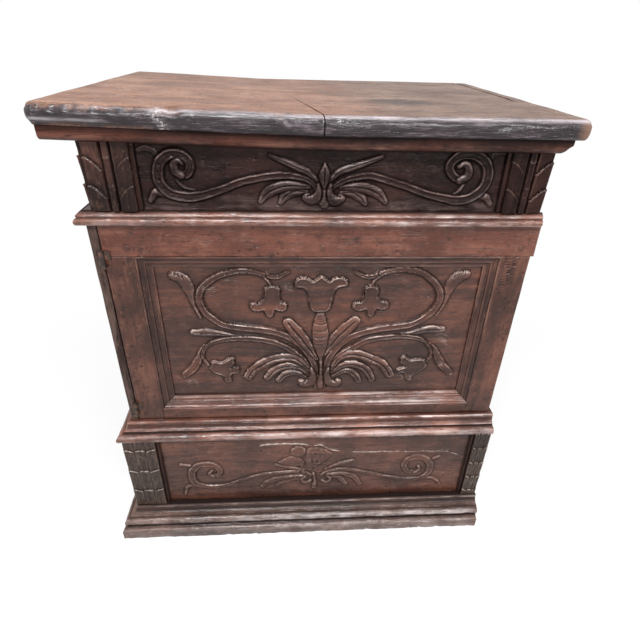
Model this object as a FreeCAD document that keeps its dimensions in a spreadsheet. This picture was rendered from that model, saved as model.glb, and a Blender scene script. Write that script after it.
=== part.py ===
import FreeCAD, Part
import os
import re

import Sketcher

# Small carved walnut chest: a lidded well above a cupboard with one panelled door.
# Origin: centre of the footprint box, on the floor. X to the right, Y to the back, Z up.
# The pieces are laid out from a datum: the door's centre line, the door's face plane and the floor.

# Driving dimensions, in millimetres
SIZES = {
    # door and the case around it
    "door_left": 328,
    "door_right": 330,
    "door_thick": 24,
    "door_top_gap": 2,
    "door_foot_gap": 2,
    "hinge_gap": 2,
    "door_rest_gap": 1.5,
    "finger_lap": 7,
    "flank_thick": 13,
    "side_thick": 18,
    "back_thick": 14,
    "case_depth": 500,
    # storeys, from the floor up
    "plinth_high": 65,
    "base_high": 175,
    "cap_high": 38,
    "doorway_high": 376,
    "waist_high": 20,
    "frieze_high": 88,
    "strip_high": 19,
    "lid_gap": 0.3,
    # base storey
    "base_reach": 10,
    "base_right_reach": 15,
    "block_reach": 11,
    "block_left_wide": 60,
    "block_right_wide": 31,
    "block_side_deep": 38,
    "block_gap": 0.5,
    "base_fillet_wide": 5,
    "base_fillet_reach": 4,
    "base_fillet_gap": 1.2,
    # plinth moulding
    "plinth_reach": 49,
    "plinth_right_end": 2,
    "plinth_nose_high": 24,
    "plinth_nose_round": 6,
    "plinth_fillet_reach": 20,
    "plinth_fillet_high": 8,
    "plinth_cove_radius": 16,
    "torus_reach": 35,
    "torus_low": 30,
    "torus_top": 46,
    "torus_radius": 8.2,
    "groove_reach": 34,
    "nose_step_reach": 41,
    # cap moulding
    "cap_right_back": 1,
    "cap_nose_step": 20,
    "cap_nose_radius": 10.3,
    "cap_nose_high": 17,
    "cap_groove_high": 20,
    "cap_groove_reach": 14,
    "cap_bead_low": 31,
    "cap_bead_reach": 6,
    "cap_band_radius": 18,
    # waist moulding
    "waist_right_over": 6,
    "waist_nose_step": 9.5,
    "waist_nose_high": 10,
    "waist_nose_radius": 6,
    "waist_bead_reach": 8,
    "waist_bead_high": 15,
    "waist_top_reach": 2,
    # frieze storey
    "frieze_thick": 20,
    "frieze_block_inset": 6,
    "frieze_block_left_wide": 61,
    "frieze_block_right_wide": 60,
    "frieze_block_reach": 10,
    "frieze_side_reach": 5,
    "frieze_side_deep": 62,
    "frieze_fillet_wide": 6,
    "frieze_fillet_reach": 3,
    # lid
    "slab_left_over": 40,
    "slab_right_over": 29,
    "slab_reach": 30,
    "slab_thick": 27,
    "slab_lift": 9,
    "slab_top_round": 6,
    "slab_low_round": 4,
    "end_strip_wide": 28,
    "joint_front": 4,
    "joint_back": 112,
    "strip_reach": 22,
    "strip_inset": 2,
    "strip_right_inset": 15,
    "strip_clear": 2,
    "strip_bend_gap": 8,
    "strip_round": 9,
    "batten_wide": 45,
    "batten_thick": 16,
    "batten_side_gap": 12,
    "batten_front_gap": 60,
    "batten_back_gap": 40,
    # inside the case
    "floor_thick": 16,
    "well_floor_thick": 14,
    "cleat_high": 15,
    "cleat_wide": 12,
    "cleat_end_gap": 40,
    "shelf_rise": 172,
    "shelf_thick": 15,
    "shelf_front_gap": 12,
    "shelf_side_gap": 0.5,
    "shelf_batten_high": 22,
    "shelf_batten_thick": 15,
    "glue_block_wide": 28,
    "glue_block_high": 94,
    "glue_block_rise": 40,
    "plank_gap": 0.6,
    "plank_low_high": 262,
    "plank_middle_high": 262,
    # door
    "top_rail_high": 50,
    "foot_rail_high": 22,
    "rail_lap": 5,
    "stile_left_wide": 45,
    "stile_right_wide": 47,
    "panel_sink": 10,
    "panel_thick": 10,
    "panel_tongue": 8,
    "groove_gap": 0.5,
    "tenon_long": 32,
    "tenon_thick": 8,
    "tenon_wide": 40,
    "tenon_gap": 0.3,
    "foot_tenon_high": 12,
    "moulding_wide": 22,
    "moulding_lip": 1.5,
    "moulding_lip_wide": 3,
    "moulding_valley": 1.2,
    "moulding_round_radius": 11,
    "moulding_round_wide": 13,
    "moulding_round_sink": 4.5,
    "moulding_step": 6,
    "moulding_cove_radius": 9,
    "moulding_cove_wide": 19.5,
    "moulding_foot": 8.5,
    "peg_radius": 5,
    "peg_reach": 0.8,
    "peg_long": 18,
    "peg_gap": 0.05,
    "peg_drop": 36,
    "peg_left_land": 1.5,
    "peg_right_land": 9.5,
    "nail_head_radius": 2.4,
    "nail_head_high": 1,
    "nail_radius": 1.1,
    "nail_long": 9,
    "nail_inset": 11,
    "nail_low_rise": 30,
    "nail_high_drop": 28,
    "nail_middle_rise": 164,
    # iron door hinges
    "door_pin_radius": 2,
    "door_knuckle_radius": 4,
    "door_pin_gap": 0.06,
    "door_pin_reach": 4.4,
    "door_pin_head": 3.2,
    "door_pin_head_high": 2,
    "door_leaf_thick": 2,
    "door_leaf_wide": 12,
    "case_leaf_wide": 10,
    "door_knuckle_high": 13,
    "knuckle_gap": 0.4,
    "door_hinge_top_rise": 305,
    "door_hinge_foot_rise": 12,
    # iron lid hinges
    "lid_pin_radius": 2.5,
    "lid_knuckle_radius": 5,
    "lid_pin_gap": 0.06,
    "lid_pin_back": 5.3,
    "lid_pin_over": 2,
    "lid_leaf_thick": 2.5,
    "lid_leaf_wide": 46,
    "lid_leaf_low": 60,
    "lid_leaf_top_gap": 4,
    "lid_hinge_inset": 120,
    # one overrun for every cut
    "overrun": 5,
}

doc = FreeCAD.newDocument("Chest")
sheet = doc.addObject("Spreadsheet::Sheet", "Sizes")
for row, (word, size) in enumerate(SIZES.items(), start=1):
    sheet.set(f"A{row}", word)
    sheet.set(f"B{row}", str(size))
    sheet.setAlias(f"B{row}", word)
doc.recompute()

# Planes and levels worked out from the driving dimensions
CASE_LEFT = "(-door_left - hinge_gap)"
FLANK_LEFT = f"({CASE_LEFT} - flank_thick)"
CASE_RIGHT = "(door_right - finger_lap)"
INNER_LEFT = f"({CASE_LEFT} + side_thick)"
INNER_RIGHT = f"({CASE_RIGHT} - side_thick)"
BASE_LEFT = f"({FLANK_LEFT} - base_reach)"
BASE_RIGHT = f"({CASE_RIGHT} + base_right_reach)"
SLAB_LEFT = f"({CASE_LEFT} - slab_left_over)"
SLAB_RIGHT = f"({CASE_RIGHT} + slab_right_over)"
FRIEZE_LEFT = f"({CASE_LEFT} + frieze_block_inset + frieze_block_left_wide)"
FRIEZE_RIGHT = f"({CASE_RIGHT} - frieze_block_right_wide)"
CASE_BACK = "(case_depth - back_thick)"
DOOR_BACK = "(door_thick + door_rest_gap)"
BASE_TOP = "(plinth_high + base_high)"
CAP_TOP = f"({BASE_TOP} + cap_high)"
WAIST_LOW = f"({CAP_TOP} + doorway_high)"
WAIST_TOP = f"({WAIST_LOW} + waist_high)"
STRIP_LOW = f"({WAIST_TOP} + frieze_high)"
SLAB_LOW = f"({STRIP_LOW} + strip_high)"
CASE_TOP = f"({SLAB_LOW} - lid_gap)"
SLAB_TOP = f"({SLAB_LOW} + slab_thick)"
DOOR_LOW = f"({CAP_TOP} + door_foot_gap)"
DOOR_TOP = f"({WAIST_LOW} - door_top_gap)"
RAIL_LOW = f"({DOOR_TOP} - top_rail_high)"
RAIL_FOOT_TOP = f"({DOOR_LOW} + foot_rail_high)"
PEG_HIGH = f"({DOOR_TOP} - peg_drop)"
STILE_LEFT = "(stile_left_wide - door_left)"
STILE_RIGHT = "(door_right - stile_right_wide)"
LEFT_MIDDLE = f"((-door_left + {STILE_LEFT}) / 2)"
RIGHT_MIDDLE = f"(({STILE_RIGHT} + door_right) / 2)"
PANEL_FRONT = "panel_sink"
PANEL_BACK = "(panel_sink + panel_thick)"
WELL_FLOOR_LOW = f"({WAIST_LOW} + knuckle_gap)"
WELL_FLOOR_TOP = f"({WELL_FLOOR_LOW} + well_floor_thick)"
SHELF_LOW = f"({CAP_TOP} + shelf_rise)"
DOOR_PIN_X = "(-door_left - hinge_gap / 2)"
DOOR_PIN_Y = "(-door_pin_reach)"
LID_PIN_Y = "(case_depth + lid_pin_back)"
LID_PIN_Z = f"({SLAB_LOW} - lid_gap / 2)"
LID_BACK = f"({LID_PIN_Y} + lid_knuckle_radius)"

# The footprint box runs from the plinth's left nose to the lid's right end,
# and from the plinth's front nose to the barrels of the lid hinges
DATUM_X = f"(-({FLANK_LEFT} - plinth_reach + {SLAB_RIGHT}) / 2)"
DATUM_Y = f"(-({LID_BACK} - plinth_reach) / 2)"

parts = []


def bound(formula):
    """The formula with each size pointed at its cell of the sheet."""
    return re.sub(r"[a-z][a-z_]*", lambda word: "Sizes." + word.group(), str(formula))


def value(formula):
    """The formula's present value in millimetres."""
    return float(sheet.evalExpression(bound(formula)))


def finish_part(part, label):
    """Names a sub-part and moves it from the datum to the part's own origin."""
    part.Label = label
    part.setExpression("Placement.Base.x", bound(DATUM_X))
    part.setExpression("Placement.Base.y", bound(DATUM_Y))
    parts.append(part)


def new_body(label):
    body = doc.addObject("PartDesign::Body", label)
    finish_part(body, label)
    return body


def new_sketch(body, role, rise):
    """A sketch on one of the body's origin planes, lifted off it along the plane's normal."""
    sketch = body.newObject("Sketcher::SketchObject", f"{body.Label}_sketch")
    plane = next(item for item in body.Origin.OriginFeatures if item.Role == role)
    sketch.AttachmentSupport = [(plane, "")]
    sketch.MapMode = "FlatFace"
    sketch.setExpression(".AttachmentOffset.Base.z", bound(rise))
    return sketch


def end_number(sketch, line, point):
    """Which end of a line or arc lies on the point: 1 its start, 2 its end."""
    start = sketch.Geometry[line].StartPoint
    end = sketch.Geometry[line].EndPoint
    return 1 if (start - point).Length <= (end - point).Length else 2


def draw_outline(sketch, corners):
    """A closed outline. A corner is (across, up), or (across, up, radius, side) where an arc
    leads to the next corner; side 1 bulges to the right of the way there, -1 to the left."""
    places = [FreeCAD.Vector(value(corner[0]), value(corner[1]), 0) for corner in corners]
    lines = []
    for index, corner in enumerate(corners):
        start = places[index]
        end = places[(index + 1) % len(places)]
        if len(corner) == 2:
            lines.append(sketch.addGeometry(Part.LineSegment(start, end), False))
            continue
        radius, side = value(corner[2]), corner[3]
        chord = end - start
        half = chord.Length / 2
        sagitta = radius - (radius ** 2 - half ** 2) ** 0.5
        outward = FreeCAD.Vector(chord.y, -chord.x, 0).normalize() * side
        crown = (start + end) / 2 + outward * sagitta
        arc = Part.Arc(start, crown, end) if side == 1 else Part.Arc(end, crown, start)
        lines.append(sketch.addGeometry(arc, False))
    for index, corner in enumerate(corners):
        place = places[index]
        line = lines[index]
        before = lines[index - 1]
        own_end = end_number(sketch, line, place)
        before_end = end_number(sketch, before, place)
        sketch.addConstraint(Sketcher.Constraint("Coincident", before, before_end, line, own_end))
        for kind, size, formula in (("DistanceX", place.x, corner[0]), ("DistanceY", place.y, corner[1])):
            number = sketch.addConstraint(Sketcher.Constraint(kind, -1, 1, line, own_end, size))
            sketch.setExpression(f"Constraints[{number}]", bound(formula))
        if len(corner) == 4:
            number = sketch.addConstraint(Sketcher.Constraint("Radius", line, value(corner[2])))
            sketch.setExpression(f"Constraints[{number}]", bound(corner[2]))


def draw_circle(sketch, across, up, radius):
    centre = FreeCAD.Vector(value(across), value(up), 0)
    upright = FreeCAD.Vector(0, 0, 1)
    ring = sketch.addGeometry(Part.Circle(centre, upright, value(radius)), False)
    sizes = (
        ("DistanceX", (-1, 1, ring, 3, centre.x), across),
        ("DistanceY", (-1, 1, ring, 3, centre.y), up),
        ("Radius", (ring, value(radius)), radius),
    )
    for kind, places, formula in sizes:
        number = sketch.addConstraint(Sketcher.Constraint(kind, *places))
        sketch.setExpression(f"Constraints[{number}]", bound(formula))


# Whether a pad from each origin plane is reversed so that it grows towards the positive axis
REVERSED_ON = {"XY_Plane": False, "XZ_Plane": True, "YZ_Plane": False}


def pad_outline(body, role, start, length, corners, cut=False):
    """Grows, or cuts, an outline from its start plane towards the positive axis."""
    lift = f"(-({start}))" if role == "XZ_Plane" else start
    sketch = new_sketch(body, role, lift)
    draw_outline(sketch, corners)
    return run_sketch(body, role, sketch, length, cut)


def run_sketch(body, role, sketch, length, cut):
    feature = body.newObject("PartDesign::Pocket" if cut else "PartDesign::Pad", f"{body.Label}_step")
    feature.Profile = sketch
    feature.setExpression("Length", bound(length))
    feature.Reversed = REVERSED_ON[role] != cut
    return feature


def rectangle(low_x, high_x, low_y, high_y):
    return [(low_x, low_y), (high_x, low_y), (high_x, high_y), (low_x, high_y)]


def pad_box(body, low_x, high_x, low_y, high_y, low_z, high_z, cut=False):
    """A rectangular length of wood, or a rectangular cut."""
    corners = rectangle(low_x, high_x, low_y, high_y)
    return pad_outline(body, "XY_Plane", low_z, f"({high_z}) - ({low_z})", corners, cut)


def drill(body, across, up, start, radius, length, role="XZ_Plane"):
    """A round hole from its start plane towards the positive axis."""
    lift = f"(-({start}))" if role == "XZ_Plane" else start
    sketch = new_sketch(body, role, lift)
    draw_circle(sketch, across, up, radius)
    return run_sketch(body, role, sketch, length, True)


def board(label, low_x, high_x, low_y, high_y, low_z, high_z):
    """A plain board between two corners."""
    body = new_body(label)
    pad_box(body, low_x, high_x, low_y, high_y, low_z, high_z)
    return body


def loose_box(name, low_x, high_x, low_y, high_y, low_z, high_z):
    """One solid of a sub-part that is a group of equal pieces."""
    box = doc.addObject("Part::Box", name)
    for side, low, high in (("Length", low_x, high_x), ("Width", low_y, high_y), ("Height", low_z, high_z)):
        box.setExpression(side, bound(f"({high}) - ({low})"))
    for axis, low in (("x", low_x), ("y", low_y), ("z", low_z)):
        box.setExpression(f"Placement.Base.{axis}", bound(low))
    return box


def loose_rod(name, centre_x, centre_y, centre_z, radius, length, axis):
    """One round solid, upright, along Y or along X, that starts at its centre."""
    rod = doc.addObject("Part::Cylinder", name)
    rod.setExpression("Radius", bound(radius))
    rod.setExpression("Height", bound(length))
    turns = {
        "x": FreeCAD.Rotation(FreeCAD.Vector(0, 1, 0), 90),
        "y": FreeCAD.Rotation(FreeCAD.Vector(1, 0, 0), -90),
        "z": FreeCAD.Rotation(),
    }
    rod.Placement.Rotation = turns[axis]
    for side, centre in (("x", centre_x), ("y", centre_y), ("z", centre_z)):
        rod.setExpression(f"Placement.Base.{side}", bound(centre))
    return rod


def join(name, solids):
    """Solids that are one piece of iron or wood."""
    fuse = doc.addObject("Part::MultiFuse", name)
    fuse.Shapes = solids
    return fuse


def cut_away(name, base, tool):
    cut = doc.addObject("Part::Cut", name)
    cut.Base = base
    cut.Tool = tool
    return cut


def group(label, solids):
    """Equal pieces that share one sub-part as separate solids."""
    compound = doc.addObject("Part::Compound", label)
    compound.Links = solids
    finish_part(compound, label)
    return compound


# Case boards
def side_board(label, low_x, high_x):
    """A side of the case, stepped back at its front edge behind the base board and the door."""
    body = new_body(label)
    corners = [
        ("flank_thick", "0"),
        (CASE_BACK, "0"),
        (CASE_BACK, CASE_TOP),
        ("frieze_thick", CASE_TOP),
        ("frieze_thick", WAIST_LOW),
        (DOOR_BACK, WAIST_LOW),
        (DOOR_BACK, CAP_TOP),
        ("flank_thick", CAP_TOP),
    ]
    pad_outline(body, "YZ_Plane", low_x, "side_thick", corners)
    return body


def case_boards():
    side_board("side_board_left", CASE_LEFT, INNER_LEFT)
    side_board("side_board_right", INNER_RIGHT, CASE_RIGHT)
    board("flank_panel_left", FLANK_LEFT, CASE_LEFT, "0", "case_depth", CAP_TOP, WAIST_TOP)
    back_steps = (
        ("back_plank_low", "0", "plank_low_high"),
        ("back_plank_middle", "(plank_low_high + plank_gap)", "(plank_low_high + plank_middle_high)"),
        ("back_plank_top", "(plank_low_high + plank_middle_high + plank_gap)", CASE_TOP),
    )
    for label, low, high in back_steps:
        board(label, CASE_LEFT, CASE_RIGHT, CASE_BACK, "case_depth", low, high)


# Base storey
def base_storey():
    board("base_front_board", BASE_LEFT, BASE_RIGHT, "(-base_reach)", "flank_thick", "0", BASE_TOP)
    board("base_panel_left", BASE_LEFT, CASE_LEFT, "flank_thick", "case_depth", "0", BASE_TOP)
    board("base_panel_right", CASE_RIGHT, BASE_RIGHT, "flank_thick", "case_depth", "0", BASE_TOP)
    block_low = "(plinth_high + block_gap)"
    block_top = f"({BASE_TOP} - block_gap)"
    block_front = "(-base_reach - block_reach)"
    block_left = f"({BASE_LEFT} - block_reach)"
    board(
        "base_block_left", block_left, f"({block_left} + block_left_wide)",
        block_front, "(-base_reach)", block_low, block_top,
    )
    board(
        "base_block_right", f"({BASE_RIGHT} - block_right_wide)", BASE_RIGHT,
        block_front, "(-base_reach)", block_low, block_top,
    )
    board(
        "base_block_side", block_left, BASE_LEFT,
        "(-base_reach)", "(block_side_deep - base_reach)", block_low, block_top,
    )
    left_start = f"({block_left} + block_left_wide + base_fillet_gap)"
    right_start = f"({BASE_RIGHT} - block_right_wide - base_fillet_gap - base_fillet_wide)"
    strips = []
    for name, start in (("left", left_start), ("right", right_start)):
        strips.append(loose_box(
            f"base_fillet_{name}", start, f"({start} + base_fillet_wide)",
            "(-base_reach - base_fillet_reach)", "(-base_reach)", block_low, block_top,
        ))
    group("base_fillets", strips)


# Mouldings. A profile is a list of corners (reach, height): reach outward from the corner line
# of the case, height above the floor.
def turn_front(profile):
    """The profile in the YZ plane: it reaches towards the front. Its arcs turn over."""
    return [(f"(-({corner[0]}))",) + flip_arc(corner, -1) for corner in profile]


def turn_left(profile):
    """The profile in the XZ plane: it reaches out of the left flank."""
    return [(f"({FLANK_LEFT} - ({corner[0]}))",) + flip_arc(corner, -1) for corner in profile]


def flip_arc(corner, turn):
    if len(corner) == 2:
        return (corner[1],)
    return (corner[1], corner[2], corner[3] * turn)


def cut_mitre(body, low_z, high_z, keep_front):
    """Cuts the corner joint through the case's front left corner, at 45 degrees."""
    reach = "(plinth_reach + overrun)"
    depth = "(flank_thick + overrun)"
    outer = (f"({FLANK_LEFT} - {reach})", f"(-{reach})")
    inner = (f"({FLANK_LEFT} + {depth})", depth)
    spare = outer[0], depth
    if not keep_front:
        spare = inner[0], outer[1]
    height = f"({high_z}) - ({low_z}) + overrun * 2"
    low = f"({low_z}) - overrun"
    pad_outline(body, "XY_Plane", low, height, [outer, inner, spare], cut=True)


def moulding_front(label, profile, right_end, reach, low_z, high_z):
    body = new_body(label)
    start = f"({FLANK_LEFT} - {reach})"
    pad_outline(body, "YZ_Plane", start, f"({right_end}) - ({start})", turn_front(profile))
    cut_mitre(body, low_z, high_z, keep_front=True)
    return body


def moulding_left(label, profile, reach, low_z, high_z):
    body = new_body(label)
    pad_outline(body, "XZ_Plane", f"(-{reach})", f"(case_depth + {reach})", turn_left(profile))
    cut_mitre(body, low_z, high_z, keep_front=False)
    return body


def plinth_profile():
    """Bottom nose, groove, torus, groove, cove and top fillet."""
    fillet_low = "(plinth_high - plinth_fillet_high)"
    return [
        ("base_reach", "0"),
        ("plinth_reach", "0"),
        ("plinth_reach", "(plinth_nose_high - plinth_nose_round)", "plinth_nose_round", 1),
        ("(plinth_reach - plinth_nose_round)", "plinth_nose_high"),
        ("nose_step_reach", "plinth_nose_high"),
        ("nose_step_reach", "torus_low"),
        ("torus_reach", "torus_low", "torus_radius", 1),
        ("torus_reach", "torus_top"),
        ("groove_reach", "torus_top", "plinth_cove_radius", -1),
        ("plinth_fillet_reach", fillet_low),
        ("plinth_fillet_reach", "plinth_high"),
        ("base_reach", "plinth_high"),
    ]


def cap_profile():
    """Rounded nose, groove, hollow band and small top bead, over the base boards' top edge."""
    groove_high = f"({BASE_TOP} + cap_groove_high)"
    nose_high = f"({BASE_TOP} + cap_nose_high)"
    bead_low = f"({BASE_TOP} + cap_bead_low)"
    return [
        ("(-flank_thick)", BASE_TOP),
        ("cap_nose_step", BASE_TOP, "cap_nose_radius", 1),
        ("cap_nose_step", nose_high),
        ("cap_groove_reach", nose_high),
        ("cap_groove_reach", groove_high, "cap_band_radius", -1),
        ("cap_bead_reach", bead_low),
        ("cap_bead_reach", CAP_TOP),
        ("(-flank_thick)", CAP_TOP),
    ]


def waist_profile():
    """Rounded nose, small hollow, bead and sloping top."""
    bead_high = f"({WAIST_LOW} + waist_bead_high)"
    nose_high = f"({WAIST_LOW} + waist_nose_high)"
    return [
        ("0", WAIST_LOW),
        ("waist_nose_step", WAIST_LOW, "waist_nose_radius", 1),
        ("waist_nose_step", nose_high),
        ("waist_bead_reach", nose_high),
        ("waist_bead_reach", bead_high),
        ("waist_top_reach", WAIST_TOP),
        ("0", WAIST_TOP),
    ]


def case_mouldings():
    rows = (
        ("plinth_moulding", plinth_profile(), f"({BASE_RIGHT} + plinth_right_end)", "0", "plinth_high"),
        ("cap_moulding", cap_profile(), f"({BASE_RIGHT} - cap_right_back)", BASE_TOP, CAP_TOP),
        ("waist_moulding", waist_profile(), f"({CASE_RIGHT} + waist_right_over)", WAIST_LOW, WAIST_TOP),
    )
    for name, profile, right_end, low, high in rows:
        moulding_front(f"{name}_front", profile, right_end, "plinth_reach", low, high)
        moulding_left(f"{name}_left", profile, "plinth_reach", low, high)


# Frieze storey
def frieze_storey():
    board("frieze_board", CASE_LEFT, CASE_RIGHT, "0", "frieze_thick", WAIST_LOW, CASE_TOP)
    low = f"({WAIST_TOP} + block_gap)"
    high = f"({STRIP_LOW} - block_gap)"
    raised = f"({high} + {warp(FRIEZE_LEFT)})"
    front = "(-frieze_block_reach)"
    left_end = f"({CASE_LEFT} + frieze_block_inset)"
    board("frieze_block_left", left_end, FRIEZE_LEFT, front, "0", low, raised)
    board("frieze_block_right", FRIEZE_RIGHT, CASE_RIGHT, front, "0", low, high)
    board(
        "frieze_block_side", f"({CASE_LEFT} - frieze_side_reach)", CASE_LEFT,
        "0", "frieze_side_deep", low, raised,
    )
    strips = []
    for name, start in (("left", FRIEZE_LEFT), ("right", f"({FRIEZE_RIGHT} - frieze_fillet_wide)")):
        strips.append(loose_box(
            f"frieze_fillet_{name}", start, f"({start} + frieze_fillet_wide)",
            "(-frieze_fillet_reach)", "0", low, high,
        ))
    group("frieze_fillets", strips)


# Boards and cleats inside the case
def side_pair(name, label, thick, *sides):
    """Two equal strips, one against each side board. The sides are low y, high y, low z and high z."""
    left = loose_box(f"{name}_left", INNER_LEFT, f"({INNER_LEFT} + {thick})", *sides)
    right = loose_box(f"{name}_right", f"({INNER_RIGHT} - {thick})", INNER_RIGHT, *sides)
    return group(label, [left, right])


def inside_boards():
    floor_low = f"({CAP_TOP} - floor_thick)"
    board("cupboard_floor", INNER_LEFT, INNER_RIGHT, "flank_thick", CASE_BACK, floor_low, CAP_TOP)
    side_pair(
        "floor_cleat", "floor_cleats", "cleat_wide", "cleat_end_gap", f"({CASE_BACK} - cleat_end_gap)",
        f"({floor_low} - cleat_high)", floor_low,
    )
    board("well_floor", INNER_LEFT, INNER_RIGHT, "frieze_thick", CASE_BACK, WELL_FLOOR_LOW, WELL_FLOOR_TOP)
    side_pair(
        "well_cleat", "well_floor_cleats", "cleat_wide", "cleat_end_gap", f"({CASE_BACK} - cleat_end_gap)",
        f"({WELL_FLOOR_LOW} - cleat_high)", WELL_FLOOR_LOW,
    )
    shelf_front = f"({DOOR_BACK} + shelf_front_gap)"
    board(
        "cupboard_shelf", f"({INNER_LEFT} + shelf_side_gap)", f"({INNER_RIGHT} - shelf_side_gap)",
        shelf_front, CASE_BACK, SHELF_LOW, f"({SHELF_LOW} + shelf_thick)",
    )
    side_pair(
        "shelf_batten", "shelf_battens", "shelf_batten_thick",
        shelf_front, f"({CASE_BACK} - cleat_end_gap)", f"({SHELF_LOW} - shelf_batten_high)", SHELF_LOW,
    )
    blocks = []
    top = "(glue_block_rise + glue_block_high)"
    for side, low_x in (("left", INNER_LEFT), ("right", f"({INNER_RIGHT} - glue_block_wide)")):
        for end, low_y in (("front", "flank_thick"), ("back", f"({CASE_BACK} - glue_block_wide)")):
            blocks.append(loose_box(
                f"glue_block_{end}_{side}", low_x, f"({low_x} + glue_block_wide)",
                low_y, f"({low_y} + glue_block_wide)", "glue_block_rise", top,
            ))
    group("glue_blocks", blocks)


# Lid. Its left board is warped: it rises from the joint to its left end.
def warp(x):
    """How far the lid's underside has risen at a place left of the joint."""
    return f"(slab_lift * (-joint_front - ({x})) / (-joint_front - {SLAB_LEFT}))"


def bent_outline(left_x, right_x, low, high):
    """A strip under the lid in the XZ plane, level as far as the joint and sloping left of it."""
    bend = "(-joint_front - strip_bend_gap)"
    return [
        (left_x, f"({low} + {warp(left_x)})"),
        (bend, low),
        (right_x, low),
        (right_x, high),
        (bend, high),
        (left_x, f"({high} + {warp(left_x)})"),
    ]


def sloping_outline(left_x, right_x, low, high):
    """A piece of the lid in the XZ plane that lies wholly left of the joint."""
    return [
        (left_x, f"({low} + {warp(left_x)})"),
        (right_x, f"({low} + {warp(right_x)})"),
        (right_x, f"({high} + {warp(right_x)})"),
        (left_x, f"({high} + {warp(left_x)})"),
    ]


def round_front_edges(body, front, level, radius):
    """Rounds the long front edges that lie near a level, all along the piece."""
    doc.recompute()
    base = body.Tip
    reach = value("slab_lift + slab_low_round")
    names = []
    for number, edge in enumerate(base.Shape.Edges, start=1):
        box = edge.BoundBox
        middle = (box.ZMin + box.ZMax) / 2
        on_front = abs(box.YMin - value(front)) + abs(box.YMax - value(front)) < value("lid_gap")
        near = value(level) - value("lid_gap") <= middle <= value(level) + reach
        if on_front and near and box.XLength > box.ZLength:
            names.append(f"Edge{number}")
    fillet = body.newObject("PartDesign::Fillet", f"{body.Label}_round")
    fillet.Base = (base, names)
    fillet.setExpression("Radius", bound(radius))


def cut_lid_joint(body, far_x):
    """Cuts from the slanting joint between the lid's two tapered boards out to far_x."""
    slope = "((joint_back - joint_front) / (case_depth + slab_reach))"
    front = (f"(overrun * {slope} - joint_front)", "(-slab_reach - overrun)")
    back = (f"(-joint_back - overrun * {slope})", "(case_depth + overrun)")
    corners = [front, back, (far_x, "(case_depth + overrun)"), (far_x, "(-slab_reach - overrun)")]
    low = f"({SLAB_LOW} - overrun)"
    pad_outline(body, "XY_Plane", low, "slab_thick + slab_lift + overrun * 2", corners, cut=True)


def lid_board(label, outline, cut_to=None):
    """A board of the lid with its worn, rounded front edge."""
    body = new_body(label)
    pad_outline(body, "XZ_Plane", "(-slab_reach)", "(slab_reach + case_depth)", outline)
    if cut_to:
        cut_lid_joint(body, cut_to)
    round_front_edges(body, "(-slab_reach)", SLAB_TOP, "slab_top_round")
    round_front_edges(body, "(-slab_reach)", SLAB_LOW, "slab_low_round")
    return body


def lid_boards():
    strip_start = f"({SLAB_RIGHT} - end_strip_wide)"
    left = sloping_outline(SLAB_LEFT, "(overrun - joint_front)", SLAB_LOW, SLAB_TOP)
    lid_board("lid_board_left", left, cut_to=SLAB_RIGHT)
    right = rectangle("(-joint_back - overrun)", strip_start, SLAB_LOW, SLAB_TOP)
    lid_board("lid_board_right", right, cut_to=SLAB_LEFT)
    lid_board("lid_end_strip", rectangle(strip_start, SLAB_RIGHT, SLAB_LOW, SLAB_TOP))


def lid_strips():
    """Quarter-round strips nailed under the slab, outside the case."""
    front = new_body("lid_strip_front")
    start = f"({SLAB_LEFT} + strip_inset)"
    outline = bent_outline(start, f"({SLAB_RIGHT} - strip_right_inset)", STRIP_LOW, SLAB_LOW)
    pad_outline(front, "XZ_Plane", "(-strip_reach)", "(strip_reach - strip_clear)", outline)
    round_front_edges(front, "(-strip_reach)", STRIP_LOW, "strip_round")
    left = new_body("lid_strip_left")
    outline = sloping_outline(start, f"({CASE_LEFT} - strip_clear)", STRIP_LOW, SLAB_LOW)
    pad_outline(left, "XZ_Plane", "(-strip_clear)", "(strip_clear + case_depth)", outline)


def lid_battens():
    """Two battens across the boards' underside, inside the well."""
    low_y = "(frieze_thick + batten_front_gap)"
    length = f"({CASE_BACK} - batten_back_gap - {low_y})"
    low = f"({SLAB_LOW} - batten_thick)"
    left_x = f"({INNER_LEFT} + batten_side_gap)"
    left = new_body("lid_batten_left")
    outline = sloping_outline(left_x, f"({left_x} + batten_wide)", low, SLAB_LOW)
    pad_outline(left, "XZ_Plane", low_y, length, outline)
    right_x = f"({INNER_RIGHT} - batten_side_gap)"
    right = new_body("lid_batten_right")
    outline = rectangle(f"({right_x} - batten_wide)", right_x, low, SLAB_LOW)
    pad_outline(right, "XZ_Plane", low_y, length, outline)


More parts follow.
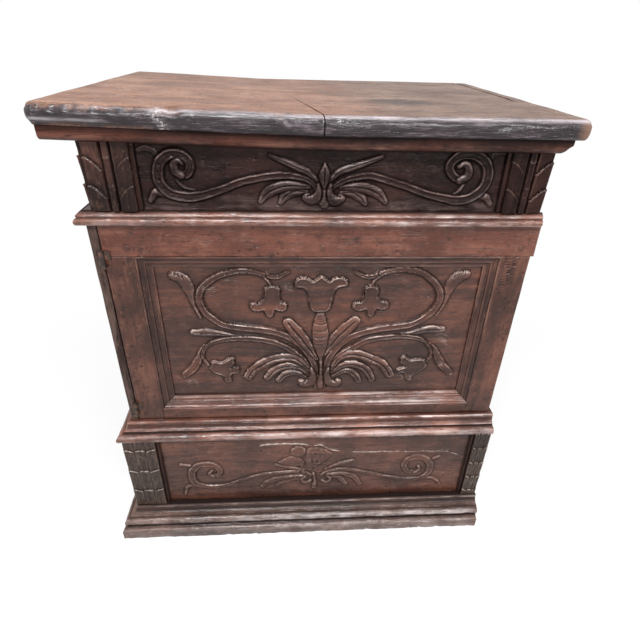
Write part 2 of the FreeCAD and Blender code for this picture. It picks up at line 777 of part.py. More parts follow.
# Door
def stile(label, low_x, high_x, middle, inner_x, inward):
    """An upright of the door: tenon into the top rail, panel groove, mortise for the foot rail."""
    body = new_body(label)
    pad_box(body, low_x, high_x, "0", "door_thick", DOOR_LOW, RAIL_LOW)
    pad_box(
        body, f"({middle} - tenon_wide / 2)", f"({middle} + tenon_wide / 2)",
        PANEL_FRONT, f"({PANEL_FRONT} + tenon_thick)", RAIL_LOW, f"({RAIL_LOW} + tenon_long)",
    )
    depth = "(panel_tongue + groove_gap)"
    groove = sorted_pair(inner_x, f"({inner_x} - ({inward}) * {depth})", inward)
    groove_low = f"({RAIL_FOOT_TOP} - {depth})"
    pad_box(body, *groove, PANEL_FRONT, PANEL_BACK, groove_low, f"({RAIL_LOW} + {depth})", cut=True)
    mortise = sorted_pair(inner_x, f"({inner_x} - ({inward}) * (tenon_long + tenon_gap))", inward)
    pad_box(
        body, *mortise, PANEL_FRONT, f"({PANEL_FRONT} + tenon_thick)",
        f"({DOOR_LOW} + tenon_gap)", f"({DOOR_LOW} + foot_tenon_high + tenon_gap * 2)", cut=True,
    )
    holes = [(across, up, "nail_radius", "nail_long") for across, up in nail_places()]
    holes += [(across, PEG_HIGH, "peg_radius", "peg_long") for across in peg_places()]
    for across, up, radius, length in holes:
        if value(low_x) < value(across) < value(high_x):
            drill(body, across, up, "0", f"({radius} + peg_gap)", length)
    return body


def nail_places():
    """Wrought nails in the stiles: beside the panel's upper and lower corners and at mid height."""
    left = f"({STILE_LEFT} - nail_inset)"
    right = f"({STILE_RIGHT} + nail_inset)"
    return (
        (left, f"({RAIL_LOW} - nail_high_drop)"),
        (left, f"({RAIL_FOOT_TOP} + nail_low_rise)"),
        (right, f"({DOOR_LOW} + nail_middle_rise)"),
        (right, f"({RAIL_FOOT_TOP} + nail_low_rise)"),
    )


def sorted_pair(edge, deep, inward):
    """Low and high of a cut that starts at a stile's inner edge; inward is 1 on the left stile."""
    return (deep, edge) if inward == 1 else (edge, deep)


def rails():
    top = new_body("door_top_rail")
    rail_left, rail_right = "(-door_left)", "(door_right + rail_lap)"
    pad_box(top, rail_left, rail_right, "0", "door_thick", RAIL_LOW, DOOR_TOP)
    tongue = "(panel_tongue + groove_gap)"
    pad_box(
        top, f"({STILE_LEFT} - {tongue})", f"({STILE_RIGHT} + {tongue})", PANEL_FRONT, PANEL_BACK,
        RAIL_LOW, f"({RAIL_LOW} + {tongue})", cut=True,
    )
    for middle in (LEFT_MIDDLE, RIGHT_MIDDLE):
        pad_box(
            top, f"({middle} - tenon_wide / 2 - tenon_gap)", f"({middle} + tenon_wide / 2 + tenon_gap)",
            PANEL_FRONT, f"({PANEL_FRONT} + tenon_thick)",
            RAIL_LOW, f"({RAIL_LOW} + tenon_long + tenon_gap)", cut=True,
        )
    for across in peg_places():
        drill(top, across, PEG_HIGH, "0", "(peg_radius + peg_gap)", "peg_long")
    foot = new_body("door_foot_rail")
    pad_box(foot, STILE_LEFT, STILE_RIGHT, "0", "door_thick", DOOR_LOW, RAIL_FOOT_TOP)
    pad_box(
        foot, f"({STILE_LEFT} - tenon_long)", f"({STILE_RIGHT} + tenon_long)",
        PANEL_FRONT, f"({PANEL_FRONT} + tenon_thick)",
        f"({DOOR_LOW} + tenon_gap)", f"({DOOR_LOW} + tenon_gap + foot_tenon_high)",
    )
    pad_box(
        foot, STILE_LEFT, STILE_RIGHT, PANEL_FRONT, PANEL_BACK,
        f"({RAIL_FOOT_TOP} - panel_tongue - groove_gap)", RAIL_FOOT_TOP, cut=True,
    )


def peg_places():
    """Across the door: one peg near the outer edge of each tenon, and one between them."""
    edge = "tenon_wide / 2 - peg_radius"
    return (f"({LEFT_MIDDLE} + {edge} - peg_left_land)", "0", f"({RIGHT_MIDDLE} + {edge} - peg_right_land)")


def door_panel():
    board(
        "door_panel", f"({STILE_LEFT} - panel_tongue)", f"({STILE_RIGHT} + panel_tongue)",
        PANEL_FRONT, PANEL_BACK, f"({RAIL_FOOT_TOP} - panel_tongue)", f"({RAIL_LOW} + panel_tongue)",
    )


def moulding_profile():
    """The door moulding's section as (width from the frame inward, depth behind the door's face)."""
    return [
        ("0", "panel_sink"),
        ("0", "(-moulding_lip)"),
        ("moulding_lip_wide", "(-moulding_lip)"),
        ("moulding_lip_wide", "moulding_valley", "moulding_round_radius", -1),
        ("moulding_round_wide", "moulding_round_sink"),
        ("moulding_round_wide", "moulding_step", "moulding_cove_radius", 1),
        ("moulding_cove_wide", "moulding_foot"),
        ("moulding_wide", "moulding_foot"),
        ("moulding_wide", "panel_sink"),
    ]


def door_moulding(label, upright, edge, inward):
    """One mitred length of the moulding round the panel, along an edge of the frame's opening."""
    body = new_body(label)
    section = []
    for corner in moulding_profile():
        width = f"({edge} + ({inward}) * {corner[0]})"
        arc = corner[2:]
        if upright:
            place = (width, corner[1])
            arc = arc[:1] + tuple(side * inward for side in arc[1:])
        else:
            place = (corner[1], width)
            arc = arc[:1] + tuple(-side * inward for side in arc[1:])
        section.append(place + arc)
    if upright:
        pad_outline(body, "XY_Plane", RAIL_FOOT_TOP, f"({RAIL_LOW}) - ({RAIL_FOOT_TOP})", section)
    else:
        pad_outline(body, "YZ_Plane", STILE_LEFT, f"({STILE_RIGHT}) - ({STILE_LEFT})", section)
    spread = "(moulding_wide + overrun)"
    far = f"({edge} + ({inward}) * {spread})"
    front = "(-moulding_lip - overrun)"
    depth = "panel_sink + moulding_lip + overrun * 2"
    ends = ((RAIL_FOOT_TOP, 1), (RAIL_LOW, -1)) if upright else ((STILE_LEFT, 1), (STILE_RIGHT, -1))
    for end, way in ends:
        back = f"({end} - ({way}) * overrun)"
        near = f"({edge} - ({inward}) * overrun)"
        tip = f"({end} + ({way}) * {spread})"
        corners = [(near, back), (far, tip), (far, back)]
        if not upright:
            corners = [(corner[1], corner[0]) for corner in corners]
        pad_outline(body, "XZ_Plane", front, depth, corners, cut=True)
    return body


def door_mouldings():
    door_moulding("door_moulding_left", True, STILE_LEFT, 1)
    door_moulding("door_moulding_right", True, STILE_RIGHT, -1)
    door_moulding("door_moulding_foot", False, RAIL_FOOT_TOP, 1)
    door_moulding("door_moulding_top", False, RAIL_LOW, -1)


def door_pegs():
    pegs = []
    for index, across in enumerate(peg_places()):
        pegs.append(loose_rod(
            f"peg_{index}", across, "(-peg_reach)", PEG_HIGH,
            "peg_radius", "(peg_long + peg_reach)", "y",
        ))
    group("door_pegs", pegs)


def door_nails():
    nails = []
    for index, (across, up) in enumerate(nail_places()):
        shank = loose_rod(f"nail_shank_{index}", across, "0", up, "nail_radius", "nail_long", "y")
        head = loose_rod(
            f"nail_head_{index}", across, "(-nail_head_high)", up,
            "nail_head_radius", "nail_head_high", "y",
        )
        nails.append(join(f"nail_{index}", [shank, head]))
    group("door_nails", nails)


# Iron hinges
def door_hinge(name, rise):
    """Leaf and eye on the case below, leaf and eye on the door above, and a headed pin."""
    low = f"({DOOR_LOW} + {rise})"
    bore = "(door_pin_radius + door_pin_gap)"
    split = f"({low} + door_knuckle_high)"
    hole = loose_rod(
        f"{name}_case_bore", DOOR_PIN_X, DOOR_PIN_Y, f"({low} - overrun)", bore,
        "(door_knuckle_high + overrun * 2)", "z",
    )
    eye = loose_rod(
        f"{name}_case_eye", DOOR_PIN_X, DOOR_PIN_Y, low, "door_knuckle_radius", "door_knuckle_high", "z",
    )
    plate = loose_box(
        f"{name}_case_plate", f"({DOOR_PIN_X} - case_leaf_wide)", DOOR_PIN_X,
        "(-door_leaf_thick)", "0", low, split,
    )
    case_leaf = cut_away(f"{name}_case_leaf", join(f"{name}_case_iron", [plate, eye]), hole)
    door_low = f"({split} + knuckle_gap)"
    hole = loose_rod(
        f"{name}_door_bore", DOOR_PIN_X, DOOR_PIN_Y, f"({door_low} - overrun)", bore,
        "(door_knuckle_high + overrun * 2)", "z",
    )
    eye = loose_rod(
        f"{name}_door_eye", DOOR_PIN_X, DOOR_PIN_Y, door_low,
        "door_knuckle_radius", "door_knuckle_high", "z",
    )
    plate = loose_box(
        f"{name}_door_plate", DOOR_PIN_X, f"({DOOR_PIN_X} + door_leaf_wide)",
        "(-door_leaf_thick)", "0", door_low, f"({door_low} + door_knuckle_high)",
    )
    door_leaf = cut_away(f"{name}_door_leaf", join(f"{name}_door_iron", [plate, eye]), hole)
    pin_top = f"({door_low} + door_knuckle_high + knuckle_gap)"
    shaft = loose_rod(
        f"{name}_pin_shaft", DOOR_PIN_X, DOOR_PIN_Y, low, "door_pin_radius", f"({pin_top}) - ({low})", "z",
    )
    head = loose_rod(
        f"{name}_pin_head", DOOR_PIN_X, DOOR_PIN_Y, pin_top, "door_pin_head", "door_pin_head_high", "z",
    )
    return case_leaf, door_leaf, join(f"{name}_pin", [shaft, head])


def lid_hinge(name, middle):
    """A strap down the back planks, a strap up the lid's back edge and the pin between them."""
    low = f"({middle} - lid_leaf_wide / 2)"
    third = "(lid_leaf_wide / 3)"
    bore = "(lid_pin_radius + lid_pin_gap)"
    plate_back = "(case_depth + lid_leaf_thick)"
    hole = loose_rod(
        f"{name}_bore", f"({low} - overrun)", LID_PIN_Y, LID_PIN_Z, bore,
        "(lid_leaf_wide + overrun * 2)", "x",
    )
    case_solids = [loose_box(
        f"{name}_case_plate", low, f"({low} + lid_leaf_wide)", "case_depth", plate_back,
        f"({LID_PIN_Z} - lid_leaf_low)", f"({LID_PIN_Z} - lid_knuckle_radius - knuckle_gap)",
    )]
    for side, start in (("left", low), ("right", f"({low} + {third} * 2 + knuckle_gap)")):
        case_solids.append(loose_rod(
            f"{name}_case_eye_{side}", start, LID_PIN_Y, LID_PIN_Z, "lid_knuckle_radius",
            f"({third} - knuckle_gap)", "x",
        ))
        case_solids.append(loose_box(
            f"{name}_case_neck_{side}", start, f"({start} + {third} - knuckle_gap)",
            "case_depth", plate_back, f"({LID_PIN_Z} - lid_knuckle_radius - knuckle_gap)", LID_PIN_Z,
        ))
    case_strap = cut_away(f"{name}_case_strap", join(f"{name}_case_iron", case_solids), hole)
    hole = loose_rod(
        f"{name}_lid_bore", f"({low} - overrun)", LID_PIN_Y, LID_PIN_Z, bore,
        "(lid_leaf_wide + overrun * 2)", "x",
    )
    eye = loose_rod(
        f"{name}_lid_eye", f"({low} + {third})", LID_PIN_Y, LID_PIN_Z, "lid_knuckle_radius", third, "x",
    )
    neck = loose_box(
        f"{name}_lid_neck", f"({low} + {third})", f"({low} + {third} * 2)", "case_depth", plate_back,
        LID_PIN_Z, f"({LID_PIN_Z} + lid_knuckle_radius + knuckle_gap)",
    )
    plate = loose_box(
        f"{name}_lid_plate", low, f"({low} + lid_leaf_wide)", "case_depth", plate_back,
        f"({LID_PIN_Z} + lid_knuckle_radius + knuckle_gap)", f"({SLAB_TOP} - lid_leaf_top_gap)",
    )
    lid_strap = cut_away(f"{name}_lid_strap", join(f"{name}_lid_iron", [eye, neck, plate]), hole)
    pin = loose_rod(
        f"{name}_pin", f"({low} - lid_pin_over)", LID_PIN_Y, LID_PIN_Z, "lid_pin_radius",
        "(lid_leaf_wide + lid_pin_over * 2)", "x",
    )
    return case_strap, lid_strap, pin


def hinges():
    door_rows = [
        door_hinge("door_hinge_foot", "door_hinge_foot_rise"),
        door_hinge("door_hinge_top", "door_hinge_top_rise"),
    ]
    door_labels = ("door_hinge_case_eyes", "door_hinge_door_eyes", "door_hinge_pins")
    for label, solids in zip(door_labels, zip(*door_rows)):
        group(label, list(solids))
    lid_rows = [
        lid_hinge("lid_hinge_left", f"({CASE_LEFT} + lid_hinge_inset)"),
        lid_hinge("lid_hinge_right", f"({CASE_RIGHT} - lid_hinge_inset)"),
    ]
    lid_labels = ("lid_hinge_case_straps", "lid_hinge_lid_straps", "lid_hinge_pins")
    for label, solids in zip(lid_labels, zip(*lid_rows)):
        group(label, list(solids))


def build():
    case_boards()
    base_storey()
    case_mouldings()
    frieze_storey()
    inside_boards()
    lid_boards()
    lid_strips()
    lid_battens()
    stile("door_stile_left", "(-door_left)", STILE_LEFT, LEFT_MIDDLE, STILE_LEFT, 1)
    stile("door_stile_right", STILE_RIGHT, "door_right", RIGHT_MIDDLE, STILE_RIGHT, -1)
    rails()
    door_panel()
    door_mouldings()
    door_pegs()
    door_nails()
    hinges()


def check_and_write():
    """Stops on any failed object, then writes each sub-part to its own file."""
    failed = [item.Name for item in doc.Objects if {"Invalid", "Error"} & set(item.State)]
    for part in parts:
        if part.Shape.isNull() or not part.Shape.isValid() or not part.Shape.Solids:
            failed.append(part.Label)
    if failed:
        raise SystemExit("failed: " + ", ".join(failed))
    os.makedirs("parts", exist_ok=True)
    for part in parts:
        part.Shape.exportStep(f"parts/{part.Label}.step")
    print(len(parts), "sub-parts written")


build()
doc.recompute()
check_and_write()
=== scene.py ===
import math

import bmesh
import bpy
import numpy as np
from mathutils import Matrix, Vector


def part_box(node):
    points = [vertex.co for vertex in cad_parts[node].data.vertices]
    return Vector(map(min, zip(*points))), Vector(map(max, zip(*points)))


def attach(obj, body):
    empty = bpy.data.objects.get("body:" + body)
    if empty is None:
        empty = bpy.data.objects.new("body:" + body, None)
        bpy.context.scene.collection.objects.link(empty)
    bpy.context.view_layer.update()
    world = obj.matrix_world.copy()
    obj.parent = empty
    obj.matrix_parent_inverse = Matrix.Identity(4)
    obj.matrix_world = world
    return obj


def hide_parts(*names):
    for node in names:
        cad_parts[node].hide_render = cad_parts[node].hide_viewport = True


# The looks of a small carved walnut chest. Shapes are worked out in millimetres in the frame of the
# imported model: X to the right, Y to the back, Z up, and the floor at zero.
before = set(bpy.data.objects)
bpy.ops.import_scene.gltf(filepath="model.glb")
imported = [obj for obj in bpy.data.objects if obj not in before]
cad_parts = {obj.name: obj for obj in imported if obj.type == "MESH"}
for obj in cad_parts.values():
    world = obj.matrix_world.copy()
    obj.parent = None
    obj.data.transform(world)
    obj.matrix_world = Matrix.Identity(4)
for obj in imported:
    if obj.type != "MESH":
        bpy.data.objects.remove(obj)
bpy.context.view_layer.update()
MM = 0.001
ALONG_X, ALONG_Y, ALONG_Z = 0, 1, 2
PATH_STEP = 0.8
OUT_OF_REACH = 99.0
PIECE_SHARP, CARVED_SHARP = 38, 82


def node_box(name):
    """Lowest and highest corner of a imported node, in millimetres."""
    low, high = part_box(name)
    return np.array(low) / MM, np.array(high) / MM


# Centre line of the door and plane of the door's face
PANEL_LOW, PANEL_HIGH = node_box("door_panel")
CENTRE_X = (PANEL_LOW[0] + PANEL_HIGH[0]) / 2
RAIL_LOW = node_box("door_top_rail")[0]
FACE_Y = RAIL_LOW[1]


# Helpers for uneven, hand-worked surfaces
def waves(a, b, seed, length):
    """A smooth uneven surface between about -1 and 1, with waves of roughly the given length."""
    rng = np.random.default_rng(seed)
    total = np.zeros(np.broadcast(a, b).shape)
    count = 7
    for _ in range(count):
        turn = rng.uniform(0, 2 * math.pi)
        pace = 2 * math.pi / (length * rng.uniform(0.6, 1.8))
        phase = rng.uniform(0, 2 * math.pi)
        total += np.sin((a * math.cos(turn) + b * math.sin(turn)) * pace + phase)
    return total / math.sqrt(count * 2)


def smooth_step(low, high, value):
    """Rises from 0 to 1 between two values."""
    share = np.clip((value - low) / (high - low), 0, 1)
    return share * share * (3 - 2 * share)


def hump(value, middle, width):
    """1 at the middle, falling away to 0 on both sides."""
    return np.exp(-((value - middle) / width) ** 2)


def centred(points):
    """Places given from the door's centre line, as places in the frame of the part."""
    return np.array(points, float) + (CENTRE_X, 0)


def smooth_path(points, closed=False):
    """Points along a smooth curve through the given ones."""
    if closed:
        ring = np.vstack([points[-1], points, points[:2]])
    else:
        ring = np.vstack([2 * points[0] - points[1], points, 2 * points[-1] - points[-2]])
    path = []
    for index in range(1, len(ring) - 2):
        before, start, end, after = ring[index - 1:index + 3]
        count = max(2, int(np.linalg.norm(end - start) / PATH_STEP))
        for share in np.arange(count) / count:
            path.append(
                0.5 * (2 * start + (end - before) * share
                       + (2 * before - 5 * start + 4 * end - after) * share ** 2
                       + (3 * start - before - 3 * end + after) * share ** 3)
            )
    if not closed:
        path.append(ring[-2])
    return np.array(path)


def within(path, grid_u, grid_v):
    """Which points of a grid lie inside a closed outline."""
    inside = np.zeros(grid_u.shape, bool)
    low, high = path.min(axis=0), path.max(axis=0)
    near = (grid_u > low[0]) & (grid_u < high[0]) & (grid_v > low[1]) & (grid_v < high[1])
    u, v = grid_u[near], grid_v[near]
    odd = np.zeros(u.shape, bool)
    for start, end in zip(path, np.roll(path, -1, axis=0)):
        crosses = (start[1] > v) != (end[1] > v)
        rise = end[1] - start[1]
        if rise:
            odd ^= crosses & (u < start[0] + (end[0] - start[0]) * (v - start[1]) / rise)
    inside[near] = odd
    return inside


def box_blur(values, reach):
    """The mean over a square of grid points round each point."""
    size = 2 * reach + 1
    for axis in (0, 1):
        padded = np.concatenate([
            np.repeat(values.take([0], axis), reach + 1, axis), values,
            np.repeat(values.take([-1], axis), reach, axis)], axis)
        running = np.cumsum(padded, axis)
        count = values.shape[axis]
        values = (running.take(range(size, size + count), axis) - running.take(range(count), axis)) / size
    return values


def set_shades(mesh, wear_and_highlight, dirt_and_shade):
    """Keeps wear and dirt at the points of a mesh, where the materials read them; the wear also paints
    highlights and the dirt also paints shade.
    """
    for label, values in (("wear_and_highlight", wear_and_highlight), ("dirt_and_shade", dirt_and_shade)):
        layer = mesh.attributes.get(label) or mesh.attributes.new(label, "FLOAT", "POINT")
        if values is not None:
            layer.data.foreach_set("value", np.asarray(values, np.float32).ravel())


def set_smooth(mesh, sharp):
    """Shades a mesh smooth, apart from edges that turn by more than an angle in degrees."""
    mesh.shade_smooth()
    mesh.set_sharp_from_angle(angle=math.radians(sharp))


def new_piece(
        name, node, body, material, points, faces, wear_and_highlight=None, dirt_and_shade=None, slot="walnut_dark",
        sharp=PIECE_SHARP):
    """A mesh piece from points in millimetres, riding on its body and standing for its node."""
    mesh = bpy.data.meshes.new(name)
    mesh.from_pydata([tuple(point) for point in np.array(points) * MM], [], faces)
    shape = bmesh.new()
    shape.from_mesh(mesh)
    bmesh.ops.recalc_face_normals(shape, faces=shape.faces)
    shape.to_mesh(mesh)
    shape.free()
    set_shades(mesh, wear_and_highlight, dirt_and_shade)
    set_smooth(mesh, sharp)
    piece = bpy.data.objects.new(name, mesh)
    bpy.context.scene.collection.objects.link(piece)
    mesh.materials.append(material)
    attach(piece, body)
    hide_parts(node)
    return piece


# Sections across a carved band. Across runs from -1 at one edge to 1 at the other.
def hollow_band(across):
    """Section of a scroll: a hollow band between two rims."""
    side = np.abs(across)
    return 0.52 + 0.48 * hump(side, 0.72, 0.2) - 0.35 * smooth_step(0.82, 1, side)


def one_rim(across):
    """Section of an arm: one strong rim on its upper side, then a rounded fall."""
    rims = 0.45 * hump(across, 0.66, 0.19) + 0.2 * hump(across, -0.72, 0.18)
    return 0.55 + rims - 0.3 * smooth_step(0.8, 1, np.abs(across))


def leaf(across):
    """Section of a leaf: rounded halves either side of a cut vein."""
    return (1 - 0.5 * hump(across, 0, 0.17)) * (1 - 0.4 * across ** 2)


def reed(across):
    """Section of a plain rounded reed."""
    return np.sqrt(np.clip(1 - 0.75 * across ** 2, 0, 1))


# Carved and worn faces
def spread(low, high, step, edge):
    """Grid lines between two ends, closer together at the ends."""
    near = edge * np.array([0, 0.15, 0.4, 0.7])
    inner = np.linspace(low + edge, high - edge, max(2, round((high - low - 2 * edge) / step)))
    return np.concatenate([low + near, inner, high - near[::-1]])


class CarvedFace:
    """A board with one worked face, kept as heights over the face's ground.

    Strokes, shapes, scores and splits are placed from the door's centre line, beads in the part's frame."""

    def __init__(self, low, high, side="front", step=1.0, edge=2.0):
        self.u_index, self.out_index = (1, 0) if side == "left" else (0, 1)
        self.u = spread(low[self.u_index], high[self.u_index], step, edge)
        self.v = spread(low[2], high[2], step, edge)
        self.grid_u, self.grid_v = np.meshgrid(self.u, self.v)
        self.height = np.zeros(self.grid_u.shape)
        self.rubbed_and_sheen = np.zeros(self.grid_u.shape)
        self.front, self.back = low[self.out_index], high[self.out_index]

    def uneven(self, seed, length):
        """Waves over the whole face."""
        return waves(self.grid_u, self.grid_v, seed, length)

    def window(self, place, reach):
        """Slices of the grid round a place."""
        first_u, last_u = np.searchsorted(self.u, [place[0] - reach, place[0] + reach])
        first_v, last_v = np.searchsorted(self.v, [place[1] - reach, place[1] + reach])
        return slice(first_v, last_v), slice(first_u, last_u)

    def trace(self, path, reach):
        """For each point of the grid near a path: distance, signed side and share along it."""
        nearest, distance, side = [np.full(self.height.shape, OUT_OF_REACH) for _ in range(3)]
        along = np.zeros(self.height.shape)
        ways = np.gradient(path, axis=0)
        ways /= np.linalg.norm(ways, axis=1)[:, None] + 1e-9
        lengths = np.concatenate([[0], np.cumsum(np.linalg.norm(np.diff(path, axis=0), axis=1))])
        for place, way, length in zip(path, ways, lengths / lengths[-1]):
            part = self.window(place, reach)
            off_u = self.grid_u[part] - place[0]
            off_v = self.grid_v[part] - place[1]
            apart = np.hypot(off_u, off_v)
            nearer = apart < nearest[part]
            beside = way[0] * off_v - way[1] * off_u
            ahead = np.abs(way[0] * off_u + way[1] * off_v)
            true = np.where(ahead < 1.0, np.abs(beside), apart)
            found = (apart, true, np.sign(beside) * true, length)
            for kept, values in zip((nearest, distance, side, along), found):
                kept[part] = np.where(nearer, values, kept[part])
        return distance, side, along

    def lay(self, inside, outside, heights):
        """Sets heights inside an ornament, with steep walls and a groove cut round it."""
        wall, groove = 1.7, 0.5
        under = self.height * (1 - 0.6 * hump(outside, 0, 1.6)) - groove * hump(outside, wall, 1.0)
        slope = heights * (1 - smooth_step(0, wall, outside))
        self.height = np.where(inside, heights, np.maximum(under, slope))

    def stroke(self, points, widths, height, section, turned=1, later=None):
        """A carved band or leaf along a curve, with widths spread along it.

        A later section takes over from the first one half-way."""
        distance, side, along = self.trace(smooth_path(centred(points)), max(widths) / 2 + 5)
        half = np.interp(along, np.linspace(0, 1, len(widths)), widths) / 2
        half = half * (1 + 0.05 * self.uneven(len(points) * 7 + 1, 18))
        across = np.clip(side * turned / np.maximum(half, 0.1), -1, 1)
        form = section(across)
        if later:
            share = smooth_step(0.4, 0.55, along)
            form = form * (1 - share) + later(across) * share
        self.lay(distance <= half, np.maximum(distance - half, 0), height * form)

    def shape(self, points, height, dish):
        """A closed carved form, such as a petal or flower, with a raised rim."""
        path = smooth_path(centred(points), closed=True)
        reach = 9
        distance, _, _ = self.trace(path, reach)
        inside = within(path, self.grid_u, self.grid_v)
        depth = np.minimum(distance, reach)
        rim = hump(depth, 2.2, 1.2)
        heights = height * (1 - dish + dish * rim - 0.35 * (1 - smooth_step(0, 1.6, depth)))
        self.lay(inside, np.where(inside, 0, distance), np.where(inside, heights, height * 0.75))

    def bead(self, place, radius, height):
        """A small round boss, or with a negative height a drilled dot or dent."""
        part = self.window(place, radius * 1.5)
        apart = np.hypot(self.grid_u[part] - place[0], self.grid_v[part] - place[1]) / radius
        self.height[part] += height * np.exp(-(apart ** 2) * 1.6)

    def score(self, points, width, depth):
        """A cut or vein."""
        distance, _, along = self.trace(smooth_path(centred(points)), width * 2 + 2)
        fade = np.clip(np.minimum(along, 1 - along) * 8, 0, 1)
        self.height -= depth * fade * hump(distance, 0, width)

    def split(self, points, width, depth, lip=0.9, bright=1.0):
        """A crack whose lower edge stands proud and is given a painted highlight."""
        distance, side, along = self.trace(smooth_path(centred(points)), 7)
        fade = np.clip(np.minimum(along, 1 - along) * 10, 0, 1)
        broken = np.clip(0.7 + 0.8 * self.uneven(len(points) + 17, 13), 0, 1.3)
        self.height -= depth * fade * hump(distance, 0, width)
        self.height += lip * fade * broken * hump(side, -2.0, 1.2)
        self.rubbed_and_sheen += bright * fade * np.clip(broken, 0.4, 1) * hump(side, -1.5, 0.9)

    def tool_marks(self, place, way, count):
        """A few short cuts side by side, left by a tool, each with a painted highlight on its lower edge."""
        shift, gap = 0.8, 3.2
        for number in range(count):
            start = np.array(place) + (number * shift, -number * gap)
            middle = start + np.array(way) / 2 + (0, 0.5)
            self.split([start, middle, start + way], 0.8, 0.7, lip=0.2, bright=0.35)

    def sink(self, low_u, high_u, low_v, high_v, depth):
        """Lowers the ground inside a rectangle."""
        wall = 1.0
        inside = [
            smooth_step(low, low + wall, lines) * (1 - smooth_step(high - wall, high, lines))
            for lines, low, high in ((self.grid_u, low_u, high_u), (self.grid_v, low_v, high_v))
        ]
        self.height -= depth * inside[0] * inside[1]

    def roughen(self, seed, amount, length, dents):
        """Undulation and dents."""
        self.height += self.uneven(seed, length) * amount + self.uneven(seed + 1, length / 4) * amount * 0.35
        rng = np.random.default_rng(seed + 2)
        for _ in range(dents):
            place = rng.uniform([self.u[0], self.v[0]], [self.u[-1], self.v[-1]])
            self.bead(place, rng.uniform(1.5, 4), -rng.uniform(0.2, 0.9))

    def round_edges(self, radius, seed):
        """Wears the arrises round the face."""
        sides = ((self.grid_u, self.grid_v, self.u, 1), (self.grid_v, self.grid_u, self.v, 0))
        for lines, other, places, turn in sides:
            for end, way in ((places[0], 1), (places[-1], -1)):
                worn = radius * (1 + 0.5 * waves(other, other * 0, seed + way + turn, 40))
                worn = np.maximum(worn, 0.3)
                near = np.clip(1 - (lines - end) * way / worn, 0, 1)
                self.height -= worn * (1 - np.sqrt(1 - near ** 2)) * 0.9

    def shades(self):
        """Wear on what stands out, painted lighter on upward-facing edges as a highlight, and dirt with
        painted shade in what lies deep, from the heights round each point.
        """
        near = box_blur(box_blur(self.height, 2), 1)
        far = box_blur(box_blur(self.height, 5), 5)
        # Wear is weighted toward upward-facing edges: a painted highlight from light falling from above.
        upward = np.clip(-1.6 * np.gradient(near, self.v, axis=0), 0, 1)
        wear_and_highlight = np.clip((self.height - near) / 0.5 - 0.1, 0, 1) * (0.2 + 0.8 * upward)
        # The darkening in hollows and round the foot of the relief is painted shade as well as grime.
        dirt_and_shade = 0.65 * np.clip((near - self.height) / 0.6, 0, 1)
        dirt_and_shade = dirt_and_shade + 0.3 * np.clip((far - self.height) / 1.6, 0, 1)
        return np.clip(wear_and_highlight + self.rubbed_and_sheen, 0, 1), np.clip(dirt_and_shade - self.rubbed_and_sheen, 0, 1)

    def build(self, name, node, body, material, keep=1.0):
        """The closed board with its worked face, with a share of its triangles kept."""
        rows, columns = self.height.shape
        wear_and_highlight, dirt_and_shade = self.shades()
        points = np.zeros((rows * columns, 3))
        points[:, self.u_index] = self.grid_u.ravel()
        points[:, 2] = self.grid_v.ravel()
        points[:, self.out_index] = (self.front - self.height).ravel()
        index = np.arange(rows * columns).reshape(rows, columns)
        quads = np.stack([index[:-1, :-1], index[:-1, 1:], index[1:, 1:], index[1:, :-1]], axis=-1)
        faces = [tuple(quad) for quad in quads.reshape(-1, 4)]
        rim = np.concatenate([index[0, :-1], index[:-1, -1], index[-1, :0:-1], index[:0:-1, 0]])
        behind = points[rim]
        behind[:, self.out_index] = self.back
        start, count = len(points), len(rim)
        for number in range(count):
            following = (number + 1) % count
            faces.append((rim[number], rim[following], start + following, start + number))
        faces.append(tuple(range(start, start + count)))
        shades = [np.concatenate([values.ravel(), np.zeros(count)]) for values in (wear_and_highlight, dirt_and_shade)]
        points = np.vstack([points, behind])
        piece = new_piece(name, node, body, material, points, faces, *shades, sharp=CARVED_SHARP)
        if keep < 1:
            self.thin_out(piece, keep, wear_and_highlight, dirt_and_shade)

    def thin_out(self, piece, keep, wear_and_highlight, dirt_and_shade):
        """Drops points where the face is flat and reads the shades again at those that stay."""
        piece.modifiers.new("thin", "DECIMATE").ratio = keep
        shape = piece.evaluated_get(bpy.context.evaluated_depsgraph_get())
        mesh = bpy.data.meshes.new_from_object(shape)
        piece.modifiers.clear()
        old = piece.data
        piece.data = mesh
        bpy.data.meshes.remove(old)
        mesh.name = piece.name
        places = np.array([vertex.co for vertex in mesh.vertices]) / MM
        column = np.clip(np.searchsorted(self.u, places[:, self.u_index]), 0, len(self.u) - 1)
        row = np.clip(np.searchsorted(self.v, places[:, 2]), 0, len(self.v) - 1)
        set_shades(mesh, wear_and_highlight[row, column], dirt_and_shade[row, column])
        set_smooth(mesh, CARVED_SHARP)


def carve(face, parts, height, side, rows):
    """Carves named parts as bands: widths along each, share of the height, section and side of its rim."""
    for name, widths, share, section, rim in rows:
        face.stroke(parts[name], widths, height * share, section, side * rim)


# Swept pieces and worn boards
def ring_faces(count, around):
    """Faces of a closed shape through rings of points, with a cap at each end."""
    index = np.arange(count * around).reshape(count, around)
    following = np.roll(index, -1, axis=1)
    quads = np.stack([index[:-1], following[:-1], following[1:], index[1:]], axis=-1)
    return [tuple(quad) for quad in quads.reshape(-1, 4)] + [tuple(index[0][::-1]), tuple(index[-1])]


def ring_shape(rings):
    """Points and faces of a closed shape through rings of points."""
    rings = np.array(rings)
    return rings.reshape(-1, 3), ring_faces(*rings.shape[:2])


def loft(name, node, body, material, rings, wear_and_highlight, dirt_and_shade, **settings):
    """A closed piece through rings of points, each ring with the same number of points."""
    new_piece(name, node, body, material, *ring_shape(rings), wear_and_highlight, dirt_and_shade, **settings)


def join_shapes(shapes):
    """Several point and face lists as one."""
    points, faces, count = [], [], 0
    for some_points, some_faces in shapes:
        points.append(some_points)
        faces += [tuple(number + count for number in face) for face in some_faces]
        count += len(some_points)
    return np.vstack(points), faces


